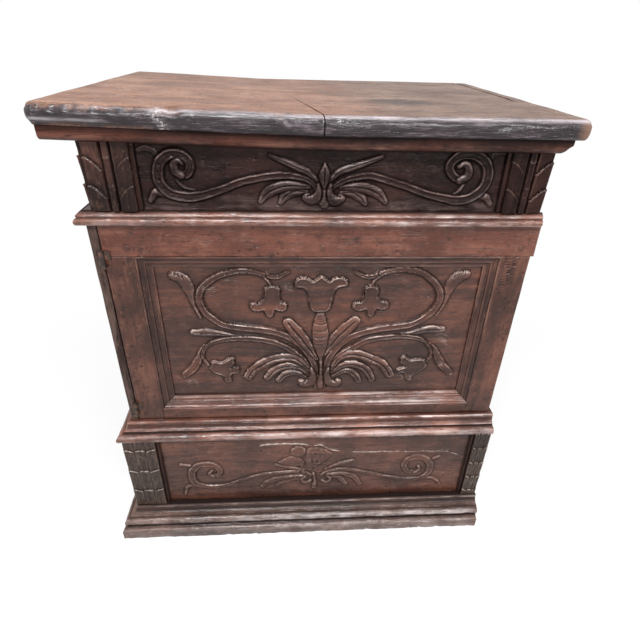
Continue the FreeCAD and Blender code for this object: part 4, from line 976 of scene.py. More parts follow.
def base_front():
    """The lower frieze: two scrolls, a hacked middle and long splits above them."""
    low, high = node_box("base_front_board")
    face = CarvedFace(low, high, step=1.25, edge=4)
    tall = 3.6
    for side, flip, faint in (("left", -1, 1.0), ("right", 1, 0.9)):
        carve(face, BASE_CARVING[side], tall, flip, (
            ("upper_leaf", (4, 7, 8, 5), 0.7, leaf, 1),
            ("fan_second", (4, 9, 11, 7), 0.6, leaf, 1),
            ("fan_first", (4, 9, 12, 8), 0.65, leaf, 1),
            ("curl", (4, 8, 7, 3), 0.6, reed, 1),
            ("tip", (5, 8, 6), 0.7, reed, 1),
            ("arm", (4, 7, 8, 8, 9, 11, 15, 15, 12, 9), faint, one_rim, 1),
            ("eye", (7, 6, 4), faint, reed, 1),
            ("volute", (6, 7, 6), 0.8, reed, 1)))
    face.stroke([(-6, 132), (-3, 110), (-4, 92)], (4, 5, 10), tall * 0.8, reed)
    for lump in BASE_CARVING["lumps"]:
        face.shape(lump, tall * 0.5, 0.0)
    hacked = np.exp(-((face.grid_u - CENTRE_X + 8) / 48) ** 2 - ((face.grid_v - 158) / 42) ** 2)
    coarse = 0.7 * waves(face.grid_u * 0.6, face.grid_v, 61, 9)
    face.height += hacked * (coarse + 0.4 * face.uneven(62, 5))
    face.bead(centred((-33, 134)), 4.2, -4.0)
    for place in centred([(-43, 118), (-35, 114), (-28, 118), (-38, 108)]):
        face.bead(place, 2.4, 1.6)
    plinth_top = node_box("plinth_moulding_front")[1][2]
    fillets_low, fillets_high = node_box("base_fillets")
    face.sink(fillets_low[0] + 3, fillets_high[0] - 3, plinth_top - 4, high[2] + 6, 2.2)
    for points, width in BASE_CARVING["splits"]:
        face.split(points, width, 2.4)
    face.score([(-262, 222), (-200, 226), (-150, 224)], 0.7, 1.0)
    face.roughen(63, 0.3, 34, 70)
    face.build("base_front_carved", "base_front_board", "case", brown_carved)


# Leaf blocks
def acanthus(face, across, tip, spacing, step):
    """Tiers of pointed leaves either side of a rib. Their tips lie at the outer edges and turn out."""
    from_edge = np.clip((1 - across) / 0.68, 0, 1)
    phase = ((tip - 17 * from_edge ** 1.7 - face.grid_v) / spacing) % 1
    face.height = -0.6 - step * phase + 0.7 * hump(phase, 0.05, 0.04)
    face.height -= 1.2 * (1 - np.sqrt(1 - np.clip((np.abs(across - 0.58) / 0.42), 0, 1) ** 2))


def leaf_rib(face, across, tip, spacing, ground):
    """A rib with a small knot beside every leaf tip, between two deep grooves."""
    rib_wide = 0.16
    knot = hump((face.grid_v - tip + spacing / 2 + 2) % spacing, spacing / 2, 2.2)
    crown = -1.6 - 1.0 * (across / rib_wide) ** 2 + 1.1 * knot
    face.height = np.where(across < rib_wide, crown, face.height)
    groove = hump(across, rib_wide * 1.3, rib_wide * 0.32)
    face.height = face.height * (1 - groove) + ground * groove


def frieze_blocks():
    """The acanthus blocks at the frieze's ends. Their outer halves are cut deeper than the inner ones."""
    tip, spacing = 749, 38
    for name, side, deep, outer, material in (
        ("left", "front", 7, -1, black_carved_z), ("right", "front", 7, 1, blacker_carved_z),
        ("side", "left", 4.2, 0, black_carved_z),
    ):
        node = f"frieze_block_{name}"
        low, high = node_box(node)
        face = CarvedFace(low, high, side=side, step=0.8, edge=1)
        middle = (face.u[0] + face.u[-1]) / 2
        across = np.abs(face.grid_u - middle) / (face.u[-1] - middle)
        plain = (face.grid_u - middle) * outer < 0
        acanthus(face, across, tip, spacing, np.where(plain, 0.9, 3.4))
        leaf_rib(face, across, tip, spacing, -deep)
        face.roughen(71, 0.14, 9, 4)
        face.height = np.clip(face.height, 0.6 - (face.back - face.front), 0)
        face.build(f"{node}_carved", node, "case", material)


def scale_leaves(face, tip, spacing, columns):
    """Rows of flat leaves with small turned-out lips, the outer ones leaning away from the middle."""
    share = (face.grid_u - face.u[0]) / (face.u[-1] - face.u[0]) * columns
    column = np.clip(np.floor(share), 0, columns - 1)
    off = share - column - 0.5
    lean = (column - (columns - 1) / 2) * off * 7
    phase = ((tip + lean - 6 * off ** 2 - face.grid_v) / spacing) % 1
    below = phase * spacing
    lip = hump(below, 1.6, 1.5) * (1 - smooth_step(0.3, 0.42, np.abs(off)))
    face.height = -1.7 - 1.3 * phase + 1.6 * lip - 1.2 * hump(below, 0, 0.8)
    face.height -= 0.9 * hump(0.5 - np.abs(off), 0, 0.06) + 0.35 * hump(off, 0, 0.08)


def base_blocks():
    """The scale-leaf blocks at the base's ends."""
    for name, side, tip, spacing, columns in (
        ("left", "front", 219, 54.5, 3), ("right", "front", 201, 40, 3), ("side", "left", 219, 54.5, 2),
    ):
        node = f"base_block_{name}"
        low, high = node_box(node)
        face = CarvedFace(low, high, side=side, step=0.9, edge=2)
        scale_leaves(face, tip, spacing, columns)
        face.roughen(81, 0.3, 11, 14)
        face.round_edges(1.8, 82)
        face.height = np.minimum(face.height, 0)
        face.build(f"{node}_carved", node, "case", brown_carved_z)


# Mouldings of the case
def arc(start, end, bulge, count):
    """Points from start to end along an arc that bulges by the given distance to the right of the way."""
    start, end = np.array(start, float), np.array(end, float)
    chord = end - start
    length = np.hypot(*chord)
    outward = np.array([chord[1], -chord[0]]) / length
    radius = (length ** 2 / 4 + bulge ** 2) / (2 * abs(bulge))
    half = math.asin(min(1, length / 2 / radius))
    points = []
    for share in np.linspace(-1, 1, count):
        along = math.sin(half * share) * radius
        rise = math.cos(half * share) * radius - math.cos(half) * radius
        points.append((start + end) / 2 + chord / length * along + outward * math.copysign(rise, bulge))
    return [tuple(point) for point in points]


def stands_out(reach, span, wear_and_highlight_depth, dirt_and_shade_depth):
    """Wear and dirt round a closed profile, from how far each point stands out from its neighbours; the wear
    also paints highlights and the dirt also paints shade in the hollows.
    """
    even = sum(np.roll(reach, shift) for shift in range(-span, span + 1)) / (2 * span + 1)
    return np.clip((reach - even) / wear_and_highlight_depth, 0, 1), np.clip((even - reach) / dirt_and_shade_depth, 0, 1)


def case_moulding(name, profile, right_end, seed, worn, nicks, materials):
    """The front and left lengths of a moulding, mitred at the case's front left corner.

    A profile point is (reach, height): reach in front of the case's face, height above the floor."""
    board_low = node_box("frieze_board")[0]
    corner = (node_box("flank_panel_left")[0][0], board_low[1])
    ends = (right_end, node_box("back_plank_top")[1][1])
    profile = np.array(profile)
    out, level_z = profile.T
    wear_and_highlight, dirt_and_shade = stands_out(out, 4, 3, 2)
    rng = np.random.default_rng(seed)
    exposed = smooth_step(0.3, 1.0, (out - out.min()) / np.ptp(out))
    for run, side in ((0, "front"), (1, "left")):
        length = ends[run] - corner[run]
        stations = np.linspace(0.0, length, int(length / 3.5))[:, None]
        reach = np.tile(out, (len(stations), 1))
        height = np.tile(level_z, (len(stations), 1))
        reach -= worn * np.abs(waves(stations, level_z * 2, seed, 60)) * exposed
        height += 0.35 * waves(stations, out, seed + 3, 90) * (exposed > 0)
        for _ in range(nicks):
            at = rng.uniform(0, length)
            level = level_z[rng.choice(len(profile))]
            wide, deep = rng.uniform(1.5, 6), rng.uniform(0.5, 2.2)
            reach -= deep * hump(stations, at, wide) * hump(level_z, level, 3) * exposed
        share = stations / length
        mitre = corner[run] - out
        rings = np.zeros((*reach.shape, 3))
        rings[:, :, run] = mitre + (ends[run] - mitre) * share
        rings[:, :, 1 - run] = corner[1 - run] - reach
        rings[:, :, 2] = np.clip(height, level_z.min(), level_z.max())
        patchy = 0.6 + 0.4 * waves(stations, level_z, seed + 9, 45)
        # The wear mask grows away from the front left corner, which paints highlights along the right part
        # of the front besides wear.
        patchy *= 0.35 + 0.65 * smooth_step(0.15, 0.65, share)
        node = f"{name}_{side}"
        loft(
            f"{node}_swept", node, "case", materials[run], rings, np.clip(wear_and_highlight * patchy, 0, 1),
            np.tile(dirt_and_shade, (len(stations), 1)), sharp=32)


def case_mouldings():
    """Plinth, cap and waist. Their profiles run from the foot upward, out in front of the case's face."""
    low, high = node_box("plinth_moulding_front")
    reach = node_box("frieze_board")[0][1] - low[1]
    plinth = [(10, 0), (reach - 2, 0)]
    plinth += arc((reach - 2, 0), (reach, 2), 0.8, 4) + [(reach - 0.3, 12)]
    plinth += arc((reach - 0.3, 17), (reach - 6, 24), 2.4, 6)
    plinth += [(41.5, 24.4), (39.5, 26), (39.5, 29.5)]
    plinth += arc((37, 30), (35, 46), 7.2, 9) + [(33.5, 46.4), (33, 48)]
    plinth += arc((33, 48.5), (21, 57), -3.4, 7) + [(20, 57.5)]
    plinth += arc((20.3, 58.5), (19, 65), 1.2, 4) + [(10, 65)]
    case_moulding("plinth_moulding", plinth, high[0], 101, 1.3, 90, (worn_and_sheen_x, worn_and_sheen_y))
    low, high = node_box("cap_moulding_front")
    base = low[2]
    cap = [(-13, base), (19, base)] + arc((19.5, base + 0.3), (19.5, base + 17), 6.4, 11)
    cap += [(14.5, base + 17.4), (13.5, base + 18.2), (13.5, base + 20)]
    cap += arc((14, base + 20.3), (6.5, base + 30.5), -2.2, 7) + [(6, base + 31)]
    cap += arc((6.3, base + 31.6), (5.6, base + 37.6), 1.2, 5) + [(4, base + 38), (-13, base + 38)]
    case_moulding("cap_moulding", cap, high[0], 111, 0.9, 40, (cap_x, cap_y))
    low, high = node_box("waist_moulding_front")
    base = low[2]
    waist = [(0, base), (9.5, base)] + arc((9.5, base), (9.5, base + 10), 2.4, 7)
    waist += [(8.2, base + 10.4), (7.4, base + 11.4)] + arc((7.6, base + 11.6), (7.4, base + 15.4), 0.9, 4)
    waist += [(2.2, base + 19.6), (0, base + 20)]
    case_moulding("waist_moulding", waist, high[0], 121, 0.6, 35, (cap_x, cap_y))


# Door frame
def door_moulding_section():
    """Points (width inward from the frame, depth behind the face), out along the front."""
    section = [(0, 12), (0, -0.6)] + arc((0.2, -1.0), (2.8, -0.9), 0.4, 4)
    section += [(3.2, 1.4)] + arc((3.6, 1.0), (12.4, 4.2), -1.4, 8)
    section += [(13.0, 6.2)] + arc((13.4, 6.0), (19.0, 8.4), -0.7, 5)
    section += [(19.6, 9.6), (22, 10.2), (22, 15), (0, 15)]
    return np.array(section)


def door_mouldings():
    """The four mitred lengths round the panel, the foot's more worn than the others, with a painted
    highlight on its upward slope.
    """
    low, high = node_box("door_moulding_foot")
    left, right, foot = low[0], high[0], low[2]
    top = node_box("door_moulding_top")[1][2]
    inward, behind = door_moulding_section().T
    wear_and_highlight, dirt_and_shade = stands_out(-behind, 3, 1.5, 1.5)
    wear_and_highlight[behind > 11] = 0
    rows = (
        ("foot", (left, right), foot, 1, 0, cap_x), ("top", (left, right), top, -1, 0, brown_x),
        ("left", (foot, top), left, 1, 2, brown_z), ("right", (foot, top), right, -1, 2, brown_z),
    )
    for number, (name, ends, edge, way, axis, material) in enumerate(rows):
        stations = np.linspace(0, 1, int((ends[1] - ends[0]) / 5))[:, None]
        start, end = ends[0] + inward, ends[1] - inward
        along = start + (end - start) * stations
        inwards = edge + way * inward + 0 * along
        uneven = 0.25 * waves(along, inward * 3, 131 + number, 40)
        rings = np.zeros((*along.shape, 3))
        rings[:, :, axis] = along
        rings[:, :, 2 - axis] = inwards
        rings[:, :, 1] = FACE_Y + behind + uneven * (behind < 11)
        patchy = np.clip(0.6 + 0.5 * waves(along, inwards, 141 + number, 60), 0, 1)
        # The wear mask grows toward the right or upper end of each length, partly as a painted highlight.
        patchy *= 0.3 + 0.7 * smooth_step(0.3, 0.8, stations)
        # The foot's upward slope gets extra wear, a painted highlight.
        sloping = 0.6 * (inward > 4) * (inward < 12) if name == "foot" else 0
        node = f"door_moulding_{name}"
        loft(
            f"{node}_swept", node, "door", material, rings, np.clip((wear_and_highlight + sloping) * patchy, 0, 1),
            np.tile(dirt_and_shade, (len(stations), 1)), sharp=30)


def door_frame():
    """Rails and stiles, dented round the pegs, with a scored patch near the head of the right stile."""
    pegs = separate_boxes("door_pegs")
    materials = {"door_top_rail": rail_x, "door_stile_left": red_z, "door_stile_right": red_z}
    for node, material in materials.items():
        low, high = node_box(node)
        if node != "door_top_rail":
            high[2] = RAIL_LOW[2]
        face = CarvedFace(low, high, step=1.6, edge=3)
        face.roughen(151 + len(node), 0.28, 60, 45)
        face.round_edges(1.3, 153)
        for peg_low, peg_high in pegs:
            middle = (peg_low + peg_high) / 2
            face.bead((middle[0], middle[2] - 1), 7.5, -1.1)
        if node == "door_stile_right":
            for number in range(9):
                across = high[0] - 28 + 5 * math.cos(number * 2.4)
                level = high[2] - 22 + 9 * math.sin(number * 1.7)
                face.bead((across, level), 3.2, -0.8)
            for level in range(552, 598, 5):
                face.score([(288, level), (300, level + 1), (312, level + 5)], 0.9, 1.0)
        face.build(f"{node}_worked", node, "door", material)
    low, high = node_box("door_foot_rail")
    moulding_low, moulding_high = node_box("door_moulding_foot")
    low[0], high[0] = moulding_low[0], moulding_high[0]
    face = CarvedFace(low, high, step=1.6, edge=3)
    face.roughen(161, 0.2, 50, 20)
    face.round_edges(1.0, 163)
    face.build("door_foot_rail_worked", "door_foot_rail", "door", red_x)


# Outlines of a peg and a nail: depth behind the crown, None for the far end, and share of the radius
PEG = ((0.0, 0.55), (0.25, 0.86), (0.7, 1.0), (4, 1.0), (None, 0.92))
NAIL = ((0.0, 0.3), (0.12, 0.62), (0.35, 0.88), (0.7, 1.0), (1.0, 0.9), (1.3, 0.45), (8, 0.3))


def round_heads(name, node, material, slot, outline, count, uneven):
    """Pegs or nails, each turned round its own axis with a slightly uneven radius."""
    shapes = []
    for number, (low, high) in enumerate(separate_boxes(node)):
        middle = (low + high) / 2
        radius = (high[0] - low[0]) / 2
        rings = []
        for depth, share in outline:
            depth = high[1] - low[1] if depth is None else depth
            ring = []
            for angle in 2 * math.pi * np.arange(count) / count:
                own = radius * share * uneven(angle, number)
                off_x, off_z = own * math.cos(angle), own * math.sin(angle)
                ring.append((middle[0] + off_x, low[1] + depth, middle[2] + off_z))
            rings.append(ring)
        shapes.append(ring_shape(rings))
    new_piece(name, node, "door", material, *join_shapes(shapes), slot=slot)


def pegs_and_nails():
    """Faceted wooden pegs and hand-forged nails."""
    round_heads(
        "door_pegs_cut", "door_pegs", red_x, "walnut_dark", PEG, 18,
        lambda angle, number: 1 - 0.05 * abs(math.sin(angle * 4 + number)))
    round_heads(
        "door_nails_forged", "door_nails", iron, "iron", NAIL, 14,
        lambda angle, number: 1 + 0.08 * math.sin(3 * angle + number))


# Lid
LID_LEFT = node_box("lid_board_left")
LID_RIGHT = node_box("lid_board_right")
END_STRIP = node_box("lid_end_strip")
SLAB_LOW_Z, SLAB_TOP_Z = END_STRIP[0][2], END_STRIP[1][2]
LID_FRONT, LID_BACK = END_STRIP[0][1], END_STRIP[1][1]
KNOT_X = CENTRE_X - 210
KNOT_LEAN = 0.35
NOSE_DEEP = 9


def joint_x(y):
    """The slanting joint between the lid's two boards."""
    front, back = LID_RIGHT[0][1], LID_RIGHT[1][1]
    start, end = LID_LEFT[1][0], LID_RIGHT[0][0]
    return start + (end - start) * (y - front) / (back - front)


def joint_gap(y):
    """The joint has opened at the front only."""
    return 0.95 - 0.75 * smooth_step(120, 190, y - LID_FRONT)


def strip_gap(y, z):
    """The end strip's upper edge has broken away from the board towards the back."""
    return 5.0 * smooth_step(0.35, 0.45, (y - LID_FRONT) / (LID_BACK - LID_FRONT)) * smooth_step(6, 20, z)


def lid_rise(x, y):
    """How far the warped left board has risen at a place."""
    bend = joint_x(y)
    lift = LID_LEFT[1][2] - SLAB_TOP_Z
    return lift * np.clip((bend - x) / (bend - LID_LEFT[0][0]), 0, 1)


def slab_section(front, back):
    """Points (y, height) round the slab's section, from the back underside forward."""
    thick = SLAB_TOP_Z - SLAB_LOW_Z
    nose = [(back, 0.0)]
    nose += [(y, 0.0) for y in np.linspace(back - 40, front + 18, 12)]
    nose += arc((front + 6, 0.0), (front + 0.3, 5.5), -1.7, 5)
    nose += [(front, 8.0), (front, 11.0), (front, 14.0)]
    nose += arc((front + 0.1, 15.5), (front + 11.5, thick), -3.3, 11)
    nose += [(y, thick) for y in np.linspace(front + 15, back, 46)]
    return np.array(nose)


def plan_corner(x, end, radius):
    """How far a rounded corner in plan draws the front edge back near the slab's end."""
    away = np.clip(1 - np.abs(x - end) / radius, 0, 1)
    return radius * (1 - np.sqrt(1 - away ** 2))


def slab_board(node, left_x, right_x, seed, warped=False, damage=None, rounded_end=None):
    """A board of the lid's slab between two edges, with a worn nose. A rounded end is (place, radius)."""
    low, high = node_box(node)
    front = low[1]
    section = slab_section(front, high[1])
    shares = np.linspace(0, 1, max(4, int((high[0] - low[0]) / 2.6)))
    shares = shares - 0.8 * np.sin(2 * math.pi * shares) / (2 * math.pi)
    y, z = [np.tile(values, (len(shares), 1)) for values in section.T]
    start, end = left_x(*section.T), right_x(*section.T)
    if rounded_end:
        undercut = 6 * np.clip(1 - section[:, 1] / 20, 0, 1) ** 2
        if rounded_end[0] == start[0]:
            start = start + undercut
        else:
            end = end - undercut
    x = start + (end - start) * shares[:, None]
    y = y + hump(y, front, NOSE_DEEP) * (0.5 + 0.5 * waves(x, z * 3, seed, 45)) * 0.5
    if rounded_end:
        y = y + plan_corner(x, *rounded_end) * hump(y, front, 30)
        z = z - plan_corner(x, rounded_end[0], 7) * smooth_step(16, 26, z)
    z = z - smooth_step(20, 27, z) * (0.35 + 0.3 * waves(x, y, seed + 1, 120))
    # The band along the nose's upper arris is a painted highlight as well as wear.
    arris = hump(z, 24.5, 2.4) * hump(y, front + 5, 4)
    wear_and_highlight = arris * np.clip(0.8 + 0.5 * waves(x, z, seed + 2, 90), 0, 1)
    dirt_and_shade = np.zeros(x.shape)
    if damage:
        y, z, wear_and_highlight, dirt_and_shade = damage(x, y, z, wear_and_highlight, dirt_and_shade, front)
    z = SLAB_LOW_Z + z + (lid_rise(x, y) if warped else 0)
    rings = np.stack([x, y, z], axis=-1)
    loft(f"{node}_worn", node, "lid", lid_wood, rings, wear_and_highlight, dirt_and_shade, slot="walnut_top", sharp=50)


def pit_nose(x, y, z, front, rng, count, widest, tall, depths):
    """Presses dents into the nose at seeded places."""
    for _ in range(count):
        at, level, wide = rng.uniform(x.min(), x.max()), rng.uniform(2, 25), rng.uniform(1.5, widest)
        pit = hump(x, at, wide) * hump(z, level, tall) * hump(y, front, NOSE_DEEP)
        y = y + pit * rng.uniform(*depths)
    return y


def left_damage(x, y, z, wear_and_highlight, dirt_and_shade, front):
    """The worn left end: a pale, scooped lower lip, a ragged upper arris and a broken knot."""
    scooped_end, pale_end = CENTRE_X - 215, CENTRE_X - 285
    share = 1 - smooth_step(scooped_end - 25, scooped_end + 10, x)
    at_front = hump(y, front, NOSE_DEEP)
    lip = hump(z, 3, 4.5) * at_front
    y = y + share * lip * 5.5
    pale = (1 - smooth_step(pale_end - 15, pale_end + 15, x)) * hump(z, 8.5, 1.6) * at_front
    ragged = hump(z, 23, 5) * hump(y, front, 14) * share
    y = y + ragged * (2 + 2.0 * waves(x, z, 201, 14))
    z = z - ragged * (1 + 1.0 * waves(x, z, 202, 10))
    knot = hump(x + (z - 13) * KNOT_LEAN, KNOT_X, 7) * hump(y, front, 16)
    y = y + knot * (2.4 + 2.4 * waves(x, z * 1.6, 203, 6))
    z = z - knot * np.clip(z / 27, 0, 1) * (0.8 + 0.8 * waves(x, y, 204, 8))
    scoop = hump(x, KNOT_X + 14, 8) * hump(z, 24, 7) * hump(y, front + 6, 12)
    y = y + scoop * 3.0
    z = z - scoop * 3.0
    y = pit_nose(x, y, z, front, np.random.default_rng(7), 22, 5, 2.5, (0.4, 1.6))
    wear_and_highlight = np.clip(wear_and_highlight * (1 - 0.75 * share) + pale + knot * 0.2, 0, 1)
    # The darkening of the scooped lip and of the scoop is painted shade.
    return y, z, wear_and_highlight, np.clip(dirt_and_shade + lip * share * 0.7 + scoop * 0.4, 0, 1)


def right_damage(x, y, z, wear_and_highlight, dirt_and_shade, front):
    """Dents along the front edge and a chip near its right end."""
    y = pit_nose(x, y, z, front, np.random.default_rng(9), 26, 6, 1.8, (0.3, 1.2))
    chip = hump(x, CENTRE_X + 259, 5) * hump(z, 0, 3) * hump(y, front, NOSE_DEEP)
    return y + chip * 3, z, wear_and_highlight, dirt_and_shade


def lid():
    """The slab's two boards, parted by their joint, and the end strip at its right."""
    swell = 5
    left_end, right_end = LID_LEFT[0][0] - swell, END_STRIP[0][0]
    far_right = END_STRIP[1][0]
    slab_board(
        "lid_board_left", lambda y, z: left_end + 0 * y, lambda y, z: joint_x(y) - joint_gap(y), 211, True,
        left_damage, (left_end, 9))
    slab_board(
        "lid_board_right", lambda y, z: joint_x(y) + joint_gap(y), lambda y, z: right_end - 0.3 + 0 * y, 221,
        damage=right_damage)
    slab_board(
        "lid_end_strip", lambda y, z: right_end + strip_gap(y, z), lambda y, z: far_right + 0 * y, 231,
        rounded_end=(far_right, 5))


def lid_material():
    """The lid's wood: reddish on top, blackened by handling on its front edge, with a pale broken knot."""
    material = walnut(
        "lid", ALONG_X, TOP, worn=(0.46, 0.34, 0.27), grime_and_shade=(0.03, 0.018, 0.015), shine=0.4, wax=0, rub_and_sheen=0,
        scuffs=0.3, pores=0.8)
    tree = material.node_tree
    shader = next(item for item in tree.nodes if item.type == "BSDF_PRINCIPLED")
    colour = shader.inputs["Base Color"].links[0].from_socket
    place = object_place(tree)
    at_x, at_y, at_z = add_node(tree, "ShaderNodeSeparateXYZ", {0: place}).outputs
    ragged = noise(tree, place, 60.0, 5.0)
    front, far_right = LID_RIGHT[0][1] * MM, END_STRIP[1][0] * MM

    def shifted(value, most):
        """A value moved to and fro by the ragged noise."""
        return sums(tree, "ADD", value, between(tree, ragged, 0.3, 0.7, -most, most))

    greyer = between(tree, shifted(at_x, 0.06), 0.02, 0.12)
    colour = mix_colour(tree, greyer, colour, (0.73, 0.87, 0.97), "MULTIPLY")
    speckle = ramp(tree, noise(tree, place, 380.0, 3.0), (
        (0.36, (0.62, 0.6, 0.58)), (0.52, (1.0, 1.0, 1.0)), (0.66, (1.3, 1.3, 1.3))))
    colour = mix_colour(tree, 1.0, colour, speckle, "MULTIPLY")
    edge = between(tree, shifted(at_y, 0.003), front + 0.004, front + 0.012, 1.0, 0.0)
    streaks = noise(tree, drawn_in(tree, place, ALONG_X, 0.12), 240.0, 6.0, 0.7)
    handled = ramp(tree, streaks, (
        (0.36, (0.008, 0.005, 0.006)), (0.54, (0.027, 0.017, 0.021)), (0.68, (0.14, 0.11, 0.125))))
    end_grain = between(tree, at_x, far_right - 0.02, far_right - 0.006, 0.0, 0.7)
    handled = mix_colour(tree, end_grain, handled, (0.24, 0.13, 0.08))
    colour = mix_colour(tree, edge, colour, handled)
    tree.links.new(product(tree, edge, 0.65), shader.inputs["Coat Weight"])
    # The pale band over the wear mask is a painted highlight along the nose's arris as well as polish.
    polish_and_highlight = product(tree, attribute(tree, "wear_and_highlight"), between(tree, streaks, 0.38, 0.56, 0.35, 0.95))
    colour = mix_colour(tree, polish_and_highlight, colour, (0.48, 0.43, 0.45))
    leaning = weighed(tree, at_x, (at_z, KNOT_LEAN))
    knot_at = KNOT_X * MM + KNOT_LEAN * (SLAB_LOW_Z + 13) * MM
    off_knot = sums(tree, "SUBTRACT", leaning, knot_at)
    off_knot = add_node(tree, "ShaderNodeMath", {0: off_knot}, operation="ABSOLUTE").outputs[0]
    spots = between(tree, noise(tree, place, 210.0, 4.0), 0.52, 0.6, 0.0, 0.8)
    pale = product(tree, between(tree, off_knot, 0.003, 0.008, 1.0, 0.0), spots)
    pale = product(tree, pale, between(tree, at_y, front + 0.01, front + 0.016, 1.0, 0.0))
    colour = mix_colour(tree, pale, colour, (0.42, 0.38, 0.36))
    stain_long = 0.7
    stain_at = ((CENTRE_X + 125) * MM * stain_long, (FACE_Y + 125) * MM, SLAB_TOP_Z * MM)
    away = add_node(
        tree, "ShaderNodeVectorMath", {0: drawn_in(tree, place, ALONG_X, stain_long), 1: stain_at},
        operation="DISTANCE").outputs["Value"]
    stained = between(tree, shifted(away, 0.012), 0.02, 0.045, 0.75, 0.0)
    colour = mix_colour(tree, stained, colour, (0.03, 0.018, 0.016))
    tree.links.new(colour, shader.inputs["Base Color"])
    return material


lid_wood = lid_material()


def lid_strips():
    """The quarter-round strip under the slab's front edge, which follows the warp of the lid."""
    low, high = node_box("lid_strip_front")
    tall, depth = 19, high[1] - low[1]
    section = [(depth, 0.0)] + arc((9.0, 0.0), (0.2, 8.5), -2.7, 7)
    section += [(0.0, 13.0), (0.0, 18.8), (depth, 18.8)]
    behind, level = np.array(section).T
    stations = np.linspace(low[0], high[0], int((high[0] - low[0]) / 4))
    x = np.tile(stations[:, None], (1, len(section)))
    turned = smooth_step(high[0] - 16, high[0], x)
    y = np.minimum(low[1] + behind + 0.4 * np.abs(waves(x, level, 241, 50)), high[1])
    z = SLAB_LOW_Z - tall + level + lid_rise(x, low[1])
    z = z + turned ** 2 * (1 - level / tall) * 9
    wear_and_highlight = 0.5 * hump(level, 5, 4) * np.clip(0.5 + 0.6 * waves(x, z, 242, 60), 0, 1)
    # The darker upper part of the strip is a painted shadow of the slab's overhang.
    dirt_and_shade = 0.85 * smooth_step(9, 16, level) + 0 * x
    rings = np.stack([x, y, z], axis=-1)
    loft("lid_strip_front_worn", "lid_strip_front", "lid", strip_x, rings, wear_and_highlight, dirt_and_shade)


# Plain boards and ironwork
def plain_boards():
    """Boards that are only worn, each with the radius of its arrises, and the nodes shown as they are."""
    rows = (
        ("flank_panel_left", ALONG_Z, flank_z, "walnut_dark", 1.6),
        ("base_panel_left", ALONG_Y, brown_y, "walnut_dark", 1.4),
        ("base_panel_right", ALONG_Y, brown_y, "walnut_dark", 1.4),
        ("back_plank_low", ALONG_X, raw_x, "walnut_raw", 1.4),
        ("back_plank_middle", ALONG_X, raw_x, "walnut_raw", 1.4),
        ("back_plank_top", ALONG_X, raw_x, "walnut_raw", 1.4),
        ("cupboard_floor", ALONG_X, raw_x, "walnut_raw", 1.0),
        ("cupboard_shelf", ALONG_X, raw_x, "walnut_raw", 1.2),
        ("well_floor", ALONG_X, raw_x, "walnut_raw", 1.0),
        ("shelf_battens", ALONG_Y, raw_y, "walnut_raw", 1.0),
        ("floor_cleats", ALONG_Y, raw_y, "walnut_raw", 0.8),
        ("well_floor_cleats", ALONG_Y, raw_y, "walnut_raw", 0.8),
        ("glue_blocks", ALONG_Z, raw_z, "walnut_raw", 1.5),
        ("frieze_fillets", ALONG_Z, black_z, "walnut_dark", 0.8),
        ("base_fillets", ALONG_Z, black_z, "walnut_dark", 0.9),
    )
    for number, (node, along, material, slot, radius) in enumerate(rows):
        worn_boards(node, "case", along, material, slot, radius, 300 + number * 7)
    worn_boards("lid_batten_right", "lid", ALONG_Y, raw_y, "walnut_raw", 1.5, 412)
    for node, material in (
        ("side_board_left", flank_z), ("side_board_right", flank_z), ("lid_batten_left", raw_y),
        ("lid_strip_left", brown_y), ("door_hinge_case_eyes", iron), ("door_hinge_door_eyes", iron),
        ("door_hinge_pins", iron), ("lid_hinge_case_straps", iron), ("lid_hinge_lid_straps", iron),
        ("lid_hinge_pins", iron),
    ):
        paint_node(node, material)


# Stage, light and camera
def seen_rays(tree):
    """1 where the camera looks, also in a reflection or through a surface, and 0 for other rays."""
    rays = add_node(tree, "ShaderNodeLightPath").outputs
    seen = sums(tree, "MAXIMUM", rays["Is Camera Ray"], rays["Is Glossy Ray"])
    return sums(tree, "MAXIMUM", seen, rays["Is Transmission Ray"])


def mix_shaders(tree, factor, first, second):
    """Two shaders mixed by a factor."""
    mixed = add_node(tree, "ShaderNodeMixShader", {0: factor, 1: first.outputs[0], 2: second.outputs[0]})
    return mixed.outputs[0]


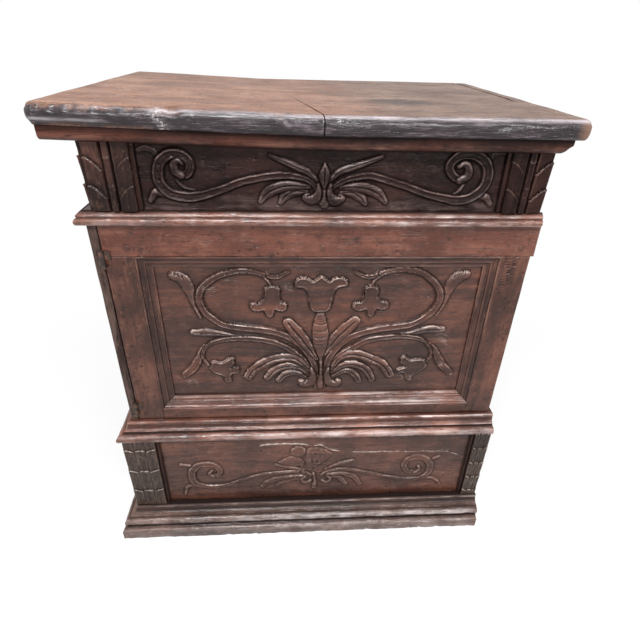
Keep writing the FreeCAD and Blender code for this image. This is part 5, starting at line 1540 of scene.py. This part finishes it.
def stage():
    """A white floor that takes a soft shadow near the piece, in a white studio."""
    reach = 6.0
    shadow = (0.45, 1.1)
    corners = [(-reach, -reach, 0), (reach, -reach, 0), (reach, reach, 0), (-reach, reach, 0)]
    mesh = bpy.data.meshes.new("floor")
    mesh.from_pydata(corners, [], [(0, 1, 2, 3)])
    floor = bpy.data.objects.new("floor", mesh)
    bpy.context.scene.collection.objects.link(floor)
    material = bpy.data.materials.new("floor")
    tree = new_tree(material)
    away = add_node(tree, "ShaderNodeVectorMath", {0: object_place(tree)}, operation="LENGTH")
    away = away.outputs["Value"]
    plain = add_node(tree, "ShaderNodeBsdfDiffuse", {"Color": (0.5, 0.5, 0.5, 1)})
    catch = mix_colour(tree, between(tree, away, *shadow, 0.36, 0.0), (0, 0, 0), (1, 1, 1))
    soft = add_node(tree, "ShaderNodeBsdfDiffuse", {"Color": catch})
    glowing = between(tree, away, *shadow, 0.68, 1.0)
    glow = add_node(tree, "ShaderNodeEmission", {"Color": (1, 1, 1, 1), "Strength": glowing})
    both = add_node(tree, "ShaderNodeAddShader", {0: soft.outputs[0], 1: glow.outputs[0]})
    chosen = mix_shaders(tree, seen_rays(tree), plain, both)
    add_node(tree, "ShaderNodeOutputMaterial", {"Surface": chosen})
    mesh.materials.append(material)
    world = bpy.data.worlds.new("studio")
    bpy.context.scene.world = world
    tree = new_tree(world)
    white = add_node(tree, "ShaderNodeBackground", {"Color": (1, 1, 1, 1), "Strength": 1.0})
    fill = add_node(tree, "ShaderNodeBackground", {"Color": (0.96, 0.98, 1, 1), "Strength": 0.25})
    chosen = mix_shaders(tree, seen_rays(tree), fill, white)
    add_node(tree, "ShaderNodeOutputWorld", {"Surface": chosen})


def lights():
    """Three area lights: place, target, size and power."""
    for name, place, target, size, power in (
        ("key_light", (-0.35, -1.7, 2.2), (0, -0.1, 0.45), (0.8, 0.45), 46),
        ("high_strip", (0.15, -0.55, 2.7), (0, -0.1, 0.4), (1.4, 0.18), 24),
        ("low_strip", (0.8, -2.6, 1.4), (0, 0, 0.4), (1.5, 0.25), 30),
    ):
        light = bpy.data.lights.new(name, "AREA")
        light.shape = "RECTANGLE"
        light.size, light.size_y = size
        light.energy = power
        lamp = bpy.data.objects.new(name, light)
        bpy.context.scene.collection.objects.link(lamp)
        lamp.location = place
        lamp.rotation_euler = (Vector(target) - Vector(place)).to_track_quat("-Z", "Y").to_euler()


def camera():
    """The photograph's viewpoint, solved from the corners of the door and the mouldings."""
    picture_wide = 640
    focal_pixels = 479
    off_centre, off_face, eye_high = 51.9, 679.9, 897.0
    yaw, pitch, roll = math.radians(4.29), math.radians(30.93), math.radians(1.67)
    forward = Vector((math.sin(yaw) * math.cos(pitch), math.cos(yaw) * math.cos(pitch), -math.sin(pitch)))
    level = Vector((math.cos(yaw), -math.sin(yaw), 0))
    upward = level.cross(forward)
    right = level * math.cos(roll) + upward * math.sin(roll)
    up = upward * math.cos(roll) - level * math.sin(roll)
    lens = bpy.data.cameras.new("camera")
    lens.sensor_width = 36
    lens.lens = lens.sensor_width * focal_pixels / picture_wide
    lens.clip_end = 50
    eye = bpy.data.objects.new("camera", lens)
    bpy.context.scene.collection.objects.link(eye)
    place = Vector((CENTRE_X - off_centre, FACE_Y - off_face, eye_high)) * MM
    turn = Matrix((right, up, -forward)).transposed().to_4x4()
    eye.matrix_world = Matrix.Translation(place) @ turn
    bpy.context.scene.camera = eye


for make in (
    door_panel, frieze_board, base_front, frieze_blocks, base_blocks, case_mouldings, door_mouldings,
    door_frame, pegs_and_nails, lid, lid_strips, plain_boards, stage, lights, camera,
):
    make()
bpy.context.scene.view_settings.view_transform = "Standard"
